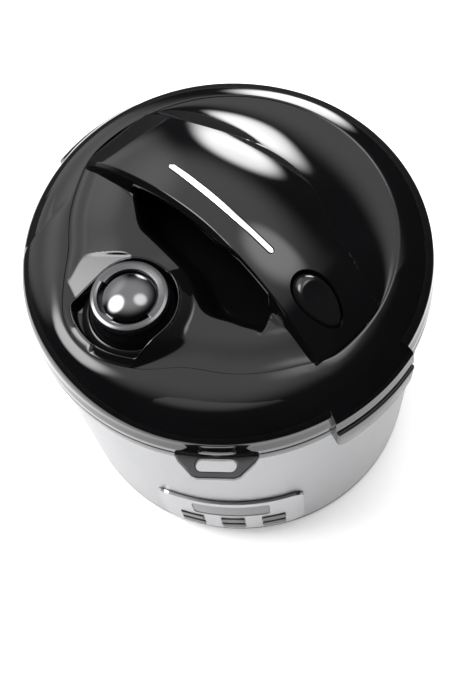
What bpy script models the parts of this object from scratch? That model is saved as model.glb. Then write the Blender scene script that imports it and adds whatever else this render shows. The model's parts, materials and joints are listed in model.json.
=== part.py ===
"""Electric pressure cooker: round housing with a bayonet lid.

Metres, +Z up. The origin is on the vertical axis at the height of the feet, and the front, with
the slotted tab and the control panel, faces -Y. The lid's handle and its lugs lie on one diagonal,
and the steam valve on the other.
"""
import math

import bmesh
import bpy
from mathutils import Matrix, Vector

# --- Driving dimensions -------------------------------------------------------------------------
MM = 0.001
RIM_R = 155 * MM               # outer radius of the lid's skirt and of the base's rim
SHELL_R = 152.3 * MM           # outer radius of the metal shell
POT_R = 110 * MM               # inside radius of the inner pot
LID_Z = 225 * MM               # plane in which the lid meets the base
GAP = 0.3 * MM                 # gap between pieces that touch
ROUND_STEPS = 36               # sides of the large turned pieces
COVER_STEPS = 44               # sides of the lid's cover
SMALL_STEPS = 16               # sides of the small turned pieces

# Lid, heights measured from the plane in which it meets the base
HANDLE_ANGLE = math.radians(-43.5)
VALVE_ANGLE = math.radians(-135.8)
LUG_ANGLES = [math.radians(-45), math.radians(135)]
LUG_HALF_ANGLE = math.radians(14)
BOWL_R = 123.4 * MM            # inner edge of the lid's outer ring
RING_TOP = 38.8 * MM
SKIRT_TOP = 13.6 * MM
COVER_WALL = 3 * MM
POCKET_FLOOR = 16 * MM         # floor of the finger pocket
HANDLE_TOP = 78 * MM
HANDLE_HALF = 121 * MM         # half the handle's length
HANDLE_GRIP = 66 * MM          # half the length of the free span
VALVE_R = 84 * MM              # distance of the valve from the lid's axis
VALVE_WELL_R = 35 * MM
WELL_RAMP = 6 * MM             # width of the well's sloping wall
VALVE_WELL_FLOOR = 26 * MM
BUTTON_S = 93 * MM             # place of the button along the handle
BUTTON_SLOPE = 0.47            # fall of the button's top and underside along the handle
BUTTON_BASE_SLOPE = 0.2
LEVER_S = 112 * MM             # place of the lock lever's pivot along the handle
LOCK_PIN_S = 131 * MM
FLOAT_S = 51 * MM              # place of the float valve along and across the handle
FLOAT_N = 22 * MM
LID_SCREW_R = 85 * MM
LID_SCREW_ANGLES = [math.radians(a) for a in (20, 94, 168, 264)]
TOOTH_COUNT = 6
TOOTH_HALF_ANGLE = math.radians(9.4)

# Base
PLATE_HOLE_R = 5.5 * MM
FOOT_R = 124 * MM
FOOT_ANGLES = [math.radians(a) for a in (45, 135, 225, 315)]
BOTTOM_SCREW_R = 130 * MM
PANEL_HALF_WIDTH = 60 * MM
PANEL_Z = (24 * MM, 100 * MM)
PANEL_R = (152.7 * MM, 155.0 * MM)
KEY_ANGLES = [math.radians(a) for a in (-13, 0, 13)]
KEY_ROWS_Z = [35 * MM, 51 * MM]
KEY_SIZE = (20 * MM, 7 * MM, 11 * MM)
CUP_Z = (138 * MM, 186 * MM)
INLET_Z = 40 * MM


# --- Scene helpers ------------------------------------------------------------------------------
def clear_scene():
    for obj in list(bpy.data.objects):
        bpy.data.objects.remove(obj, do_unlink=True)
    for mesh in list(bpy.data.meshes):
        bpy.data.meshes.remove(mesh)


def collection(name):
    made = bpy.data.collections.new(name)
    bpy.context.scene.collection.children.link(made)
    return made


clear_scene()
PARTS = collection("electric_pressure_cooker")
CUTTERS = collection("cutters")


def material(name, color, roughness, metallic=0.0, alpha=1.0):
    made = bpy.data.materials.new(name)
    made.use_nodes = True
    shader = made.node_tree.nodes["Principled BSDF"]
    shader.inputs["Base Color"].default_value = (*color, 1.0)
    shader.inputs["Roughness"].default_value = roughness
    shader.inputs["Metallic"].default_value = metallic
    shader.inputs["Alpha"].default_value = alpha
    return made


GLOSS_BLACK = dict(color=(0.006, 0.006, 0.007), roughness=0.08)
SATIN_BLACK = dict(color=(0.02, 0.02, 0.022), roughness=0.35)
DARK_GREY = dict(color=(0.045, 0.045, 0.048), roughness=0.4)
SATIN_STEEL = dict(color=(0.62, 0.62, 0.63), roughness=0.32, metallic=1.0)
POLISHED_STEEL = dict(color=(0.72, 0.72, 0.73), roughness=0.15, metallic=1.0)
CHROME = dict(color=(0.85, 0.85, 0.86), roughness=0.05, metallic=1.0)
ALUMINIUM = dict(color=(0.7, 0.7, 0.7), roughness=0.4, metallic=1.0)
RUBBER = dict(color=(0.03, 0.03, 0.03), roughness=0.8)
SILICONE = dict(color=(0.75, 0.75, 0.72), roughness=0.5)
BOARD = dict(color=(0.02, 0.16, 0.06), roughness=0.5)
CLEAR = dict(color=(0.8, 0.84, 0.86), roughness=0.1, alpha=0.4)
BRASS = dict(color=(0.75, 0.58, 0.25), roughness=0.3, metallic=1.0)


def new_object(name, mesh, look=None, group=None):
    obj = bpy.data.objects.new(name, mesh)
    (group or PARTS).objects.link(obj)
    if look:
        mesh.materials.clear()
        mesh.materials.append(material(name + "_material", **look))
    if group is CUTTERS:
        obj.hide_render = True
        obj.display_type = "WIRE"
    return obj


def mesh_from(bm, name, angle=35):
    bmesh.ops.recalc_face_normals(bm, faces=bm.faces)
    mesh = bpy.data.meshes.new(name)
    bm.to_mesh(mesh)
    bm.free()
    mesh.shade_smooth()
    mesh.set_sharp_from_angle(angle=math.radians(angle))
    return mesh


def boolean(obj, other, operation="DIFFERENCE"):
    mod = obj.modifiers.new(operation.lower() + "_" + other.name, "BOOLEAN")
    mod.operation = operation
    mod.solver = "EXACT"
    mod.object = other


def bevel(obj, width, segments=1, angle=40):
    mod = obj.modifiers.new("bevel", "BEVEL")
    mod.width = width
    mod.segments = segments
    mod.limit_method = "ANGLE"
    mod.angle_limit = math.radians(angle)


# --- Shape helpers ------------------------------------------------------------------------------
def turned(name, profile_mm, look=None, group=None, steps=ROUND_STEPS, at=(0, 0, 0)):
    """Turn a profile of (radius, height) pairs in mm; it runs clockwise, outer side downwards.

    A profile whose ends are both on the axis is left open, and any other is closed.
    """
    bm = bmesh.new()
    verts = [bm.verts.new((r * MM, 0, z * MM)) for r, z in profile_mm]
    for first, second in zip(verts, verts[1:]):
        bm.edges.new((first, second))
    if profile_mm[0][0] > 0:
        bm.edges.new((verts[-1], verts[0]))
    mesh = bpy.data.meshes.new(name)
    bm.to_mesh(mesh)
    bm.free()
    obj = new_object(name, mesh, look, group)
    obj.location = at
    screw = obj.modifiers.new("turn", "SCREW")
    screw.axis = "Z"
    screw.steps = steps
    screw.render_steps = steps
    screw.use_merge_vertices = True
    screw.merge_threshold = 0.00002
    return obj


def block(name, low, high, look=None, group=None, turn=0.0, bevel_width=0.0, segments=2):
    """A box between two corners, turned about the object's vertical axis, with rounded edges."""
    bm = bmesh.new()
    bmesh.ops.create_cube(bm, size=1.0)
    size = Vector(high) - Vector(low)
    centre = (Vector(high) + Vector(low)) / 2
    bmesh.ops.transform(bm, matrix=Matrix.Translation(centre) @ Matrix.Diagonal((*size, 1)), verts=bm.verts)
    obj = new_object(name, mesh_from(bm, name), look, group)
    obj.rotation_euler.z = turn
    if bevel_width:
        bevel(obj, bevel_width, segments)
    return obj


def arc_block(name, radii, heights, centre_angle, half_angle, look=None, group=None, steps=8, slope=0.0):
    """A sector of a rectangular ring; slope lowers the top's outer edge."""
    inner, outer = radii
    low, high = heights
    bm = bmesh.new()
    corners = [(inner, 0, high), (outer, 0, high - slope), (outer, 0, low), (inner, 0, low)]
    face = bm.faces.new([bm.verts.new(corner) for corner in corners])
    bmesh.ops.rotate(bm, matrix=Matrix.Rotation(centre_angle - half_angle, 3, "Z"), verts=bm.verts)
    bmesh.ops.spin(bm, geom=[face] + list(face.edges) + list(face.verts), cent=(0, 0, 0),
                   axis=(0, 0, 1), angle=2 * half_angle, steps=steps)
    return new_object(name, mesh_from(bm, name), look, group)


def rounded_outline(half_width, half_height, radius, steps=5):
    """Points of a rectangle with round corners, anticlockwise."""
    points = []
    for quarter, (sx, sy) in enumerate([(1, 1), (-1, 1), (-1, -1), (1, -1)]):
        for step in range(steps + 1):
            angle = math.pi / 2 * (quarter + step / steps)
            points.append((sx * (half_width - radius) + radius * math.cos(angle),
                           sy * (half_height - radius) + radius * math.sin(angle)))
    return points


def prism(name, outline, low, high, matrix=None, look=None, group=None, bevel_width=0.0):
    """Extrude a closed outline from one height to another, then place it with a matrix."""
    bm = bmesh.new()
    face = bm.faces.new([bm.verts.new((x, y, low)) for x, y in outline])
    raised = bmesh.ops.extrude_face_region(bm, geom=[face])["geom"]
    tops = [item for item in raised if isinstance(item, bmesh.types.BMVert)]
    bmesh.ops.translate(bm, verts=tops, vec=(0, 0, high - low))
    if matrix is not None:
        bmesh.ops.transform(bm, matrix=matrix, verts=bm.verts)
    obj = new_object(name, mesh_from(bm, name), look, group)
    if bevel_width:
        bevel(obj, bevel_width)
    return obj


def coil(name, radius, wire, z_low, z_high, turns, look, at=(0, 0, 0)):
    """A compression spring whose wire stays between two heights."""
    curve = bpy.data.curves.new(name, "CURVE")
    curve.dimensions = "3D"
    curve.bevel_depth = wire
    curve.bevel_resolution = 1
    curve.use_fill_caps = True
    per_turn = 8
    count = turns * per_turn + 1
    spline = curve.splines.new("POLY")
    spline.points.add(count - 1)
    for index, point in enumerate(spline.points):
        share = index / (count - 1)
        angle = 2 * math.pi * turns * share
        height = z_low + wire * 1.3 + (z_high - z_low - wire * 2.6) * share
        point.co = (radius * math.cos(angle), radius * math.sin(angle), height, 1)
    holder = bpy.data.objects.new(name + "_curve", curve)
    PARTS.objects.link(holder)
    bpy.context.view_layer.update()
    evaluated = holder.evaluated_get(bpy.context.evaluated_depsgraph_get())
    mesh = bpy.data.meshes.new_from_object(evaluated)
    bpy.data.objects.remove(holder)
    bm = bmesh.new()
    bm.from_mesh(mesh)
    bmesh.ops.remove_doubles(bm, verts=bm.verts, dist=0.00001)
    obj = new_object(name, mesh_from(bm, name, 60), look)
    obj.location = at
    return obj


def polar(radius, angle, z=0.0):
    return Vector((radius * math.cos(angle), radius * math.sin(angle), z))


def from_handle(s, n, z=0.0):
    """Place given along (s) and across (n) the handle; n is negative on the valve's side."""
    along, across = polar(1, HANDLE_ANGLE), polar(1, HANDLE_ANGLE + math.pi / 2)
    return along * s + across * n + Vector((0, 0, z))


def to_handle(x, y):
    along, across = polar(1, HANDLE_ANGLE), polar(1, HANDLE_ANGLE + math.pi / 2)
    here = Vector((x, y, 0))
    return here.dot(along), here.dot(across)


def smooth(value):
    value = min(1.0, max(0.0, value))
    return value * value * (3 - 2 * value)


# --- The lid's surfaces, as heights above the plane in which it meets the base --------------------
def handle_left(s):
    """The grip edge, narrowest near the middle."""
    return -15.8 * MM - 10.2 * MM * (abs(s - 5 * MM) / (116 * MM)) ** 1.6


def handle_right(s):
    """The far edge, a wide wing that narrows towards both ends."""
    return 30 * MM + 40 * MM * math.exp(-(s / (75 * MM)) ** 2)


def handle_surface(s, n):
    """Height of the handle: a crown along it that drops faster and flattens out near both ends."""
    past = max(0.0, abs(s) - 80 * MM) / (41 * MM)
    along = HANDLE_TOP - 31 * MM * (s / HANDLE_HALF) ** 2 - 7 * MM * past ** 2
    flatten = 1 - 0.9 * (s / HANDLE_HALF) ** 4
    if n > 2 * MM:
        return along - 22 * MM * ((n - 2 * MM) / (64 * MM)) ** 2 * flatten
    return along - 3.5 * MM * ((2 * MM - n) / (31 * MM)) ** 2 * flatten


def handle_thickness(s, n):
    """Thick where it stands on the cover, a bar over the pocket, and thin along its far edge."""
    standing = handle_surface(s, n) - 37.2 * MM
    bar = 9 * MM
    foot = smooth((abs(s) - HANDLE_GRIP) / (6 * MM))
    body = bar + (standing - bar) * foot
    edge = smooth((handle_right(s) - 10 * MM - n) / (12 * MM))
    return 2.2 * MM + (body - 2.2 * MM) * edge


def cover_surface(x, y):
    """Height of the cover inside its ring: mounds, finger pocket and valve well."""
    s, n = to_handle(x, y)
    right, bowl = handle_right(s), math.sqrt(max(0.0, BOWL_R ** 2 - s * s))
    if n > right - 14 * MM and bowl > right:
        edge = handle_surface(s, right) - 4 * MM
        share = max(0.0, min(1.0, (n - right) / (bowl - right)))
        outside = RING_TOP + (max(edge, RING_TOP) - RING_TOP) * (1 - share) ** 1.3
        inside = min(outside, handle_surface(s, n) - 4 * MM)
        high = outside if n > right else inside
        drop = smooth((right - 2 * MM - n) / (12 * MM))
        return high + (min(high, 35.5 * MM) - high) * drop
    under_end = smooth((abs(s) - HANDLE_GRIP + 4 * MM) / (8 * MM))
    shore = -36 * MM - 13 * MM * math.exp(-((s - 33 * MM) / (22 * MM)) ** 2)
    into_pocket = smooth((n - shore) / (20 * MM)) * (1 - under_end)
    under_handle = smooth((n - handle_left(s) + 16 * MM) / (8 * MM))
    mound = RING_TOP + 5 * MM * smooth((BOWL_R - math.hypot(x, y)) / (30 * MM))
    land = mound + (35.5 * MM - mound) * under_handle
    height = land + (POCKET_FLOOR - land) * into_pocket
    valve_x, valve_y, _ = polar(VALVE_R, VALVE_ANGLE)
    valve_s, valve_n = to_handle(valve_x, valve_y)
    from_axis = math.hypot(s - valve_s, n - valve_n) if n > valve_n else abs(s - valve_s)
    in_well = smooth((VALVE_WELL_R + WELL_RAMP - from_axis) / WELL_RAMP)
    if math.hypot(x, y) > BOWL_R - 0.5 * MM:
        in_well = 0.0
    return height + (VALVE_WELL_FLOOR - height) * in_well


# --- Lid ----------------------------------------------------------------------------------------
def make_lid_cover():
    bowl = BOWL_R / MM
    rows = [9 * i for i in range(13)] + [117, bowl - 1, bowl]
    ring = [(bowl + (RIM_R / MM - 2.4 - bowl) * math.sin(a), SKIRT_TOP / MM
             + (RING_TOP - SKIRT_TOP) / MM * math.cos(a)) for a in
            [math.pi / 2 * i / 6 for i in range(1, 7)]]
    inner_ring = [(bowl + 2.2 + 24 * math.sin(a), SKIRT_TOP / MM - 2
                   + 24 * math.cos(a)) for a in [math.pi / 2 * i / 4 for i in range(4, 0, -1)]]
    top_z, under_z = 40, -40
    profile = [(r, top_z) for r in rows] + ring
    profile += [(RIM_R / MM, 1.0), (RIM_R / MM - 0.6, 0.0), (RIM_R / MM - 4.5, 0.0)]
    profile += inner_ring + [(bowl + 2.2, under_z), (bowl + 1.2, under_z)]
    profile += [(r, under_z) for r in reversed(rows[:-2])]
    bm = bmesh.new()
    verts = [bm.verts.new((r * MM, 0, z * MM)) for r, z in profile]
    edges = [bm.edges.new(pair) for pair in zip(verts, verts[1:])]
    bmesh.ops.spin(bm, geom=verts + edges, cent=(0, 0, 0), axis=(0, 0, 1), angle=2 * math.pi,
                   steps=COVER_STEPS, use_merge=True)
    bmesh.ops.remove_doubles(bm, verts=bm.verts, dist=0.00002)
    for vert in bm.verts:
        radius = math.hypot(vert.co.x, vert.co.y)
        if abs(vert.co.z - top_z * MM) < MM / 10:
            vert.co.z = cover_surface(vert.co.x, vert.co.y)
        elif vert.co.z < -MM:
            source = radius - 2.2 * MM if radius > BOWL_R else radius
            inward = source / radius if radius > 0 else 1.0
            vert.co.z = cover_surface(vert.co.x * inward, vert.co.y * inward) - COVER_WALL
    bmesh.ops.translate(bm, verts=bm.verts, vec=(0, 0, LID_Z))
    cover = new_object("lid_cover", mesh_from(bm, "lid_cover"), GLOSS_BLACK)
    for index, angle in enumerate(LUG_ANGLES):
        lug = arc_block(f"lid_lug_{index}", (RIM_R - 4 * MM, RIM_R + 5.5 * MM),
                        (LID_Z + 0.3 * MM, LID_Z + 15.6 * MM), angle, LUG_HALF_ANGLE,
                        group=CUTTERS, slope=4 * MM)
        boolean(cover, lug, "UNION")
    for index, angle in enumerate(LID_SCREW_ANGLES):
        x, y, _ = polar(LID_SCREW_R, angle)
        top = (LID_Z + cover_surface(x, y)) / MM - 1.5
        post = turned(f"screw_post_{index}", [(0, top), (4.5, top), (4.5, 235.2), (2.1, 235.2),
                                              (2.1, top - 3), (0, top - 3)],
                      group=CUTTERS, steps=12, at=(x, y, 0))
        boolean(cover, post, "UNION")
    holes = [("valve", polar(VALVE_R, VALVE_ANGLE), 9.5), ("float", from_handle(FLOAT_S, FLOAT_N), 5.0),
             ("button", from_handle(BUTTON_S, 2 * MM), 4.2)]
    for name, place, radius in holes:
        hole = turned(f"cover_hole_{name}", [(0, 300), (radius, 300), (radius, 226), (0, 226)],
                      group=CUTTERS, steps=16, at=place)
        boolean(cover, hole)
    return cover


def make_lid_handle():
    """A bar shaped over a grid, with its ends on the cover and its middle free."""
    across, along = 6, 24
    bm = bmesh.new()
    top, under = {}, {}
    for i in range(along + 1):
        s = HANDLE_HALF * (2 * i / along - 1)
        for j in range(across + 1):
            share = j / across
            n = handle_left(s) + (handle_right(s) - handle_left(s)) * share
            reach = math.hypot(s, n)
            limit = min(1.0, (BOWL_R - 1.3 * MM) / reach) if abs(s) > 60 * MM else 1.0
            s_in, n_in = s * limit, n * limit
            height = LID_Z + handle_surface(s_in, n_in)
            top[i, j] = bm.verts.new(from_handle(s_in, n_in, height))
            under[i, j] = bm.verts.new(from_handle(s_in, n_in, height - handle_thickness(s_in, n_in)))
    for i in range(along):
        for j in range(across):
            for layer in (top, under):
                bm.faces.new([layer[i, j], layer[i + 1, j], layer[i + 1, j + 1], layer[i, j + 1]])
    rims = [[(i, 0) for i in range(along + 1)], [(i, across) for i in range(along + 1)],
            [(0, j) for j in range(across + 1)], [(along, j) for j in range(across + 1)]]
    for rim in rims:
        for here, there in zip(rim, rim[1:]):
            bm.faces.new([top[here], top[there], under[there], under[here]])
    handle = new_object("lid_handle", mesh_from(bm, "lid_handle"), GLOSS_BLACK)
    place = Matrix.Translation(from_handle(BUTTON_S, 2 * MM)) @ Matrix.Rotation(HANDLE_ANGLE, 4, "Z")
    well = prism("button_well", button_outline(0.0), LID_Z + 30 * MM, LID_Z + 90 * MM, place, group=CUTTERS)
    boolean(handle, well)
    groove = strip_bar("strip_groove", GAP, 1.2 * MM, 4 * MM, group=CUTTERS)
    boolean(handle, groove)
    return handle


def button_outline(inset):
    """An egg, rounder towards the lid's middle; inset makes it smaller all round."""
    points = []
    for step in range(24):
        angle = 2 * math.pi * step / 24
        half_width = (14 * MM - inset) * (1 - 0.14 * math.cos(angle))
        points.append(((21 * MM - inset) * math.cos(angle), half_width * math.sin(angle)))
    return points


def strip_bar(name, grow, depth, rise, look=None, group=None):
    """A bar that follows the handle's crown, from depth below it to rise above it."""
    steps, half, width = 16, 50 * MM + grow, 2.3 * MM + grow
    bm = bmesh.new()
    sections = []
    for i in range(steps + 1):
        s = half * (2 * i / steps - 1)
        crown = LID_Z + handle_surface(s, 1 * MM)
        corners = [(-width, -depth), (width, -depth), (width, rise), (-width, rise)]
        sections.append([bm.verts.new(from_handle(s, 1 * MM + n, crown + z)) for n, z in corners])
    for first, second in zip(sections, sections[1:]):
        for k in range(4):
            bm.faces.new([first[k], first[(k + 1) % 4], second[(k + 1) % 4], second[k]])
    bm.faces.new(sections[0])
    bm.faces.new(sections[-1])
    return new_object(name, mesh_from(bm, name), look, group)


def make_release_button():
    """A button whose top slopes with the handle, on a stem with a return spring round it."""
    place = Matrix.Translation(from_handle(BUTTON_S, 2 * MM))
    turn = Matrix.Rotation(HANDLE_ANGLE, 4, "Z")
    button = prism("release_button", button_outline(1.2 * MM), -7.7 * MM, -0.2 * MM,
                   turn, look=GLOSS_BLACK, bevel_width=1.2 * MM)
    for vert in button.data.vertices:
        s, _ = to_handle(vert.co.x, vert.co.y)
        vert.co.z -= s * (BUTTON_SLOPE if vert.co.z > -4 * MM else BUTTON_BASE_SLOPE)
    button.location = place.translation + Vector((0, 0, LID_Z + 60 * MM))
    stem = turned("button_stem", [(0, -6), (3, -6), (3, -34), (0, -34)],
                  group=CUTTERS, steps=12, at=button.location)
    boolean(button, stem, "UNION")
    base = (LID_Z + 36.2 * MM)
    coil("button_spring", 6 * MM, 0.6 * MM, base, LID_Z + 50.6 * MM, 3, SATIN_STEEL,
         at=from_handle(BUTTON_S, 2 * MM))


def make_lock_linkage():
    """The button's stem tips a lever, whose other end lifts the lock pin."""
    turn = Matrix.Rotation(HANDLE_ANGLE, 4, "Z")
    pivot = from_handle(LEVER_S, 2 * MM, LID_Z + 23.3 * MM)
    lever = block("lock_lever", (-23 * MM, -4 * MM, -1.5 * MM), (23 * MM, 4 * MM, 1.5 * MM), SATIN_STEEL)
    lever.location = pivot
    lever.rotation_euler.z = HANDLE_ANGLE
    side = Matrix.Rotation(math.pi / 2, 4, "X")
    barrel = prism("lever_barrel", circle_outline(3.4 * MM, 16), -4 * MM, 4 * MM, side, group=CUTTERS)
    bore = prism("lever_bore", circle_outline(1.9 * MM, 12), -9 * MM, 9 * MM, side, group=CUTTERS)
    for cutter, operation in ((barrel, "UNION"), (bore, "DIFFERENCE")):
        cutter.parent = lever
        boolean(lever, cutter, operation)
    axle = prism("lever_pin", circle_outline(1.5 * MM, 12), -9 * MM, 9 * MM, turn @ side, look=POLISHED_STEEL)
    axle.location = pivot
    outline = [(-7.5, -4), (-7.5, 6.6), (7.5, 6.6), (7.5, -4), (5.2, -4), (5.2, 4.6), (-5.2, 4.6), (-5.2, -4)]
    bracket = prism("lever_bracket", [(a * MM, b * MM) for a, b in outline], -5 * MM, 5 * MM,
                    turn @ Matrix.Rotation(math.pi / 2, 4, "Z") @ side, look=SATIN_BLACK)
    bracket.location = pivot
    eye = prism("bracket_eye", circle_outline(1.8 * MM, 12), -12 * MM, 12 * MM, turn @ side, group=CUTTERS)
    eye.location = pivot
    boolean(bracket, eye)
    turned("lock_pin", [(0, 245.7), (2.4, 245.7), (3, 244.9), (3, 223.6), (2, 222.4), (0, 222.4)],
           POLISHED_STEEL, steps=16, at=from_handle(LOCK_PIN_S, 2 * MM))


def circle_outline(radius, count):
    return [(radius * math.cos(2 * math.pi * i / count), radius * math.sin(2 * math.pi * i / count))
            for i in range(count)]


def make_valve():
    place = polar(VALVE_R, VALVE_ANGLE)
    turned("valve_stem", [(0, 267.5), (4, 267.5), (7, 264.5), (7, 237), (9, 237), (9, 234.8),
                          (5, 234.8), (5, 226), (0, 226)], POLISHED_STEEL, steps=SMALL_STEPS, at=place)
    knob = turned("valve_knob", [(0, 272), (21.5, 272), (21.5, 278.6), (22.6, 280), (25.2, 280),
                                 (27, 278.4), (27.8, 272), (29.6, 267), (31, 262), (31.2, 259),
                                 (31.2, 256), (29.2, 256), (28.2, 261), (24, 266.5), (14, 267.5),
                                 (11, 255), (7.6, 255), (7.6, 268.3), (0, 268.3)], GLOSS_BLACK, steps=20, at=place)
    dome = [(18.5 * math.sin(math.pi / 2 * i / 5), 276.5 + 5.3 * math.cos(math.pi / 2 * i / 5))
            for i in range(6)]
    turned("valve_cap", dome + [(18.5, 272.3), (0, 272.3)], CHROME, steps=20, at=place)
    turned("valve_nut", [(9.5, 232.7), (9.5, 227.5), (6.2, 227.5), (6.2, 232.7)], BRASS, steps=6, at=place)
    turned("filter_cap", [(0, 216.8), (12.6, 216.8), (12.6, 232.5), (14, 232.5), (14, 217), (12.5, 215.4),
                          (0, 215.4)], POLISHED_STEEL, steps=SMALL_STEPS, at=place)
    return knob


def make_float_valve():
    place = from_handle(FLOAT_S, FLOAT_N)
    turned("float_valve", [(0, 243), (3, 243), (3.4, 242.4), (3.4, 237), (4.2, 237), (4.2, 235), (3.4, 235),
                           (3.4, 225), (6, 225), (6, 223), (0, 223)], POLISHED_STEEL, steps=16, at=place)
    turned("float_gasket", [(5.8, 226.8), (5.8, 225.3), (3.7, 225.3), (3.7, 226.8)], SILICONE,
           steps=16, at=place)


def make_lid_plate():
    plate = turned("lid_plate", [(0, 234.5), (99.5, 234.5), (105.2, 229.5), (106.6, 222), (117, 222), (119, 220),
                                 (119, 213.6), (117.5, 213.6), (117.5, 219.5), (116.4, 220.5), (105, 220.5),
                                 (103.7, 228.8), (98.8, 233), (0, 233)], POLISHED_STEEL)
    for index in range(TOOTH_COUNT):
        angle = 2 * math.pi * (index + 0.5) / TOOTH_COUNT
        tooth = arc_block(f"lid_tooth_{index}", (118.2 * MM, 121.9 * MM), (213.9 * MM, 215.4 * MM),
                          angle, TOOTH_HALF_ANGLE, group=CUTTERS, steps=4)
        boolean(plate, tooth, "UNION")
    holes = [(polar(VALVE_R, VALVE_ANGLE), PLATE_HOLE_R / MM), (from_handle(FLOAT_S, FLOAT_N), 3.8)]
    holes += [(polar(LID_SCREW_R, angle), 2.2) for angle in LID_SCREW_ANGLES]
    for index, (place, radius) in enumerate(holes):
        hole = turned(f"plate_hole_{index}", [(0, 240), (radius, 240), (radius, 228), (0, 228)],
                      group=CUTTERS, steps=16, at=place)
        boolean(plate, hole)
    for index, angle in enumerate(LID_SCREW_ANGLES):
        x, y, _ = polar(LID_SCREW_R, angle)
        turned(f"lid_screw_{index + 1}", [(0, 242.5), (1.8, 242.5), (1.8, 232.7), (4, 232.7), (4, 231.4), (3, 230.4),
                                          (0, 230.4)], POLISHED_STEEL, steps=12, at=(x, y, 0))


def make_seal():
    turned("sealing_ring", [(115.4, 220.2), (116.6, 219.0), (116.6, 211.2), (115.7, 210.3), (107, 210.3),
                            (107, 212), (113.2, 213), (113.2, 218), (107, 219), (107, 220.2)], SILICONE)
    major, minor = 111.2, 1.5
    wire = [(major + minor * math.cos(-math.pi * i / 3), 215.5 + minor * math.sin(-math.pi * i / 3))
            for i in range(6)]
    turned("seal_support_ring", wire, SATIN_STEEL)


# --- Base ---------------------------------------------------------------------------------------
def make_bottom():
    cover = turned("bottom_cover", [(0, 9), (147.5, 9), (147.5, 24), (150.8, 24), (150.8, 13.7), (152, 13.7),
                                    (152, 8.5), (149.5, 6), (0, 6)], SATIN_BLACK)
    for index in range(8):
        slot = block(f"vent_{index}", (55 * MM, -2.5 * MM, 0), (85 * MM, 2.5 * MM, 20 * MM),
                     group=CUTTERS, turn=2 * math.pi * (index + 0.5) / 8)
        boolean(cover, slot)
    for index, angle in enumerate(FOOT_ANGLES):
        turned(f"foot_{index + 1}", [(0, 5.7), (9, 5.7), (10, 4.5), (10, 1), (9, 0), (0, 0)], RUBBER,
               steps=SMALL_STEPS, at=polar(FOOT_R, angle))
        place = polar(BOTTOM_SCREW_R, angle + math.radians(42))
        hole = turned(f"bottom_hole_{index}", [(0, 12), (2.1, 12), (2.1, 4), (0, 4)], group=CUTTERS,
                      steps=12, at=place)
        boolean(cover, hole)
        turned(f"bottom_screw_{index + 1}", [(0, 16), (1.7, 16), (1.7, 5.7), (3.6, 5.7), (3.6, 4.6), (2.8, 3.8),
                                             (0, 3.8)], SATIN_STEEL, steps=12, at=place)


def make_shell():
    shell = turned("outer_shell", [(SHELL_R / MM, 214.2), (SHELL_R / MM, 14), (151.3, 14), (151.3, 214.2)],
                   SATIN_STEEL)
    window = block("panel_window", (-48 * MM, -160 * MM, 28 * MM), (48 * MM, -130 * MM, 95 * MM), group=CUTTERS)
    inlet_hole = block("inlet_hole", (-20.6 * MM, 130 * MM, INLET_Z - 14.6 * MM),
                       (20.6 * MM, 160 * MM, INLET_Z + 14.6 * MM), group=CUTTERS)
    boolean(shell, window)
    boolean(shell, inlet_hole)


def make_base_rim():
    rim = turned("base_rim", [(155, 224.4), (155, 214.5), (151.0, 214.5), (151.0, 206), (149.2, 206),
                              (149.2, 216.5), (127, 216.5), (127, 200), (124.8, 200), (124.8, 221.5),
                              (146, 221.5), (149, 224.4)], DARK_GREY)
    for index, angle in enumerate(LUG_ANGLES):
        lug = arc_block(f"base_lug_{index}", (152.7 * MM, 161.5 * MM), (196 * MM, 224.2 * MM), angle,
                        math.radians(16), group=CUTTERS, steps=8)
        lens = Matrix.Rotation(angle, 4, "Z") @ Matrix.Rotation(math.pi / 2, 4, "Z") \
            @ Matrix.Rotation(math.pi / 2, 4, "X")
        outline = [(x, y + 214 * MM) for x, y in rounded_outline(38.5 * MM, 16 * MM, 9 * MM, 4)]
        shape = prism(f"lug_shape_{index}", outline, -170 * MM, 170 * MM, lens, group=CUTTERS)
        boolean(lug, shape, "INTERSECT")
        boolean(rim, lug, "UNION")
    half_root, half_tip = 30 * MM, 13 * MM
    outline = [(-half_root, -152.5 * MM), (-half_root + 3 * MM, -157.5 * MM), (-half_tip - 4 * MM, -168 * MM),
               (-half_tip, -169.5 * MM), (half_tip, -169.5 * MM), (half_tip + 4 * MM, -168 * MM),
               (half_root - 3 * MM, -157.5 * MM), (half_root, -152.5 * MM)]
    tab = prism("tab", outline, 217.8 * MM, 223.6 * MM, group=CUTTERS)
    boolean(rim, tab, "UNION")
    slot_outline = [(x, y - 160.2 * MM) for x, y in rounded_outline(14.2 * MM, 4.5 * MM, 4.4 * MM)]
    slot = prism("tab_slot", slot_outline, 205 * MM, 235 * MM, group=CUTTERS)
    boolean(rim, slot)


def make_lock_ring():
    ring = turned("lock_ring", [(124.4, 218.6), (124.4, 206.7), (113, 206.7), (113, 208.2), (122.6, 208.2),
                                (122.6, 218.6)], SATIN_STEEL)
    for index in range(TOOTH_COUNT):
        tooth = arc_block(f"ring_tooth_{index}", (119.7 * MM, 123.4 * MM), (216.8 * MM, 218.3 * MM),
                          2 * math.pi * index / TOOTH_COUNT, TOOTH_HALF_ANGLE, group=CUTTERS, steps=4)
        boolean(ring, tooth, "UNION")


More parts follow.
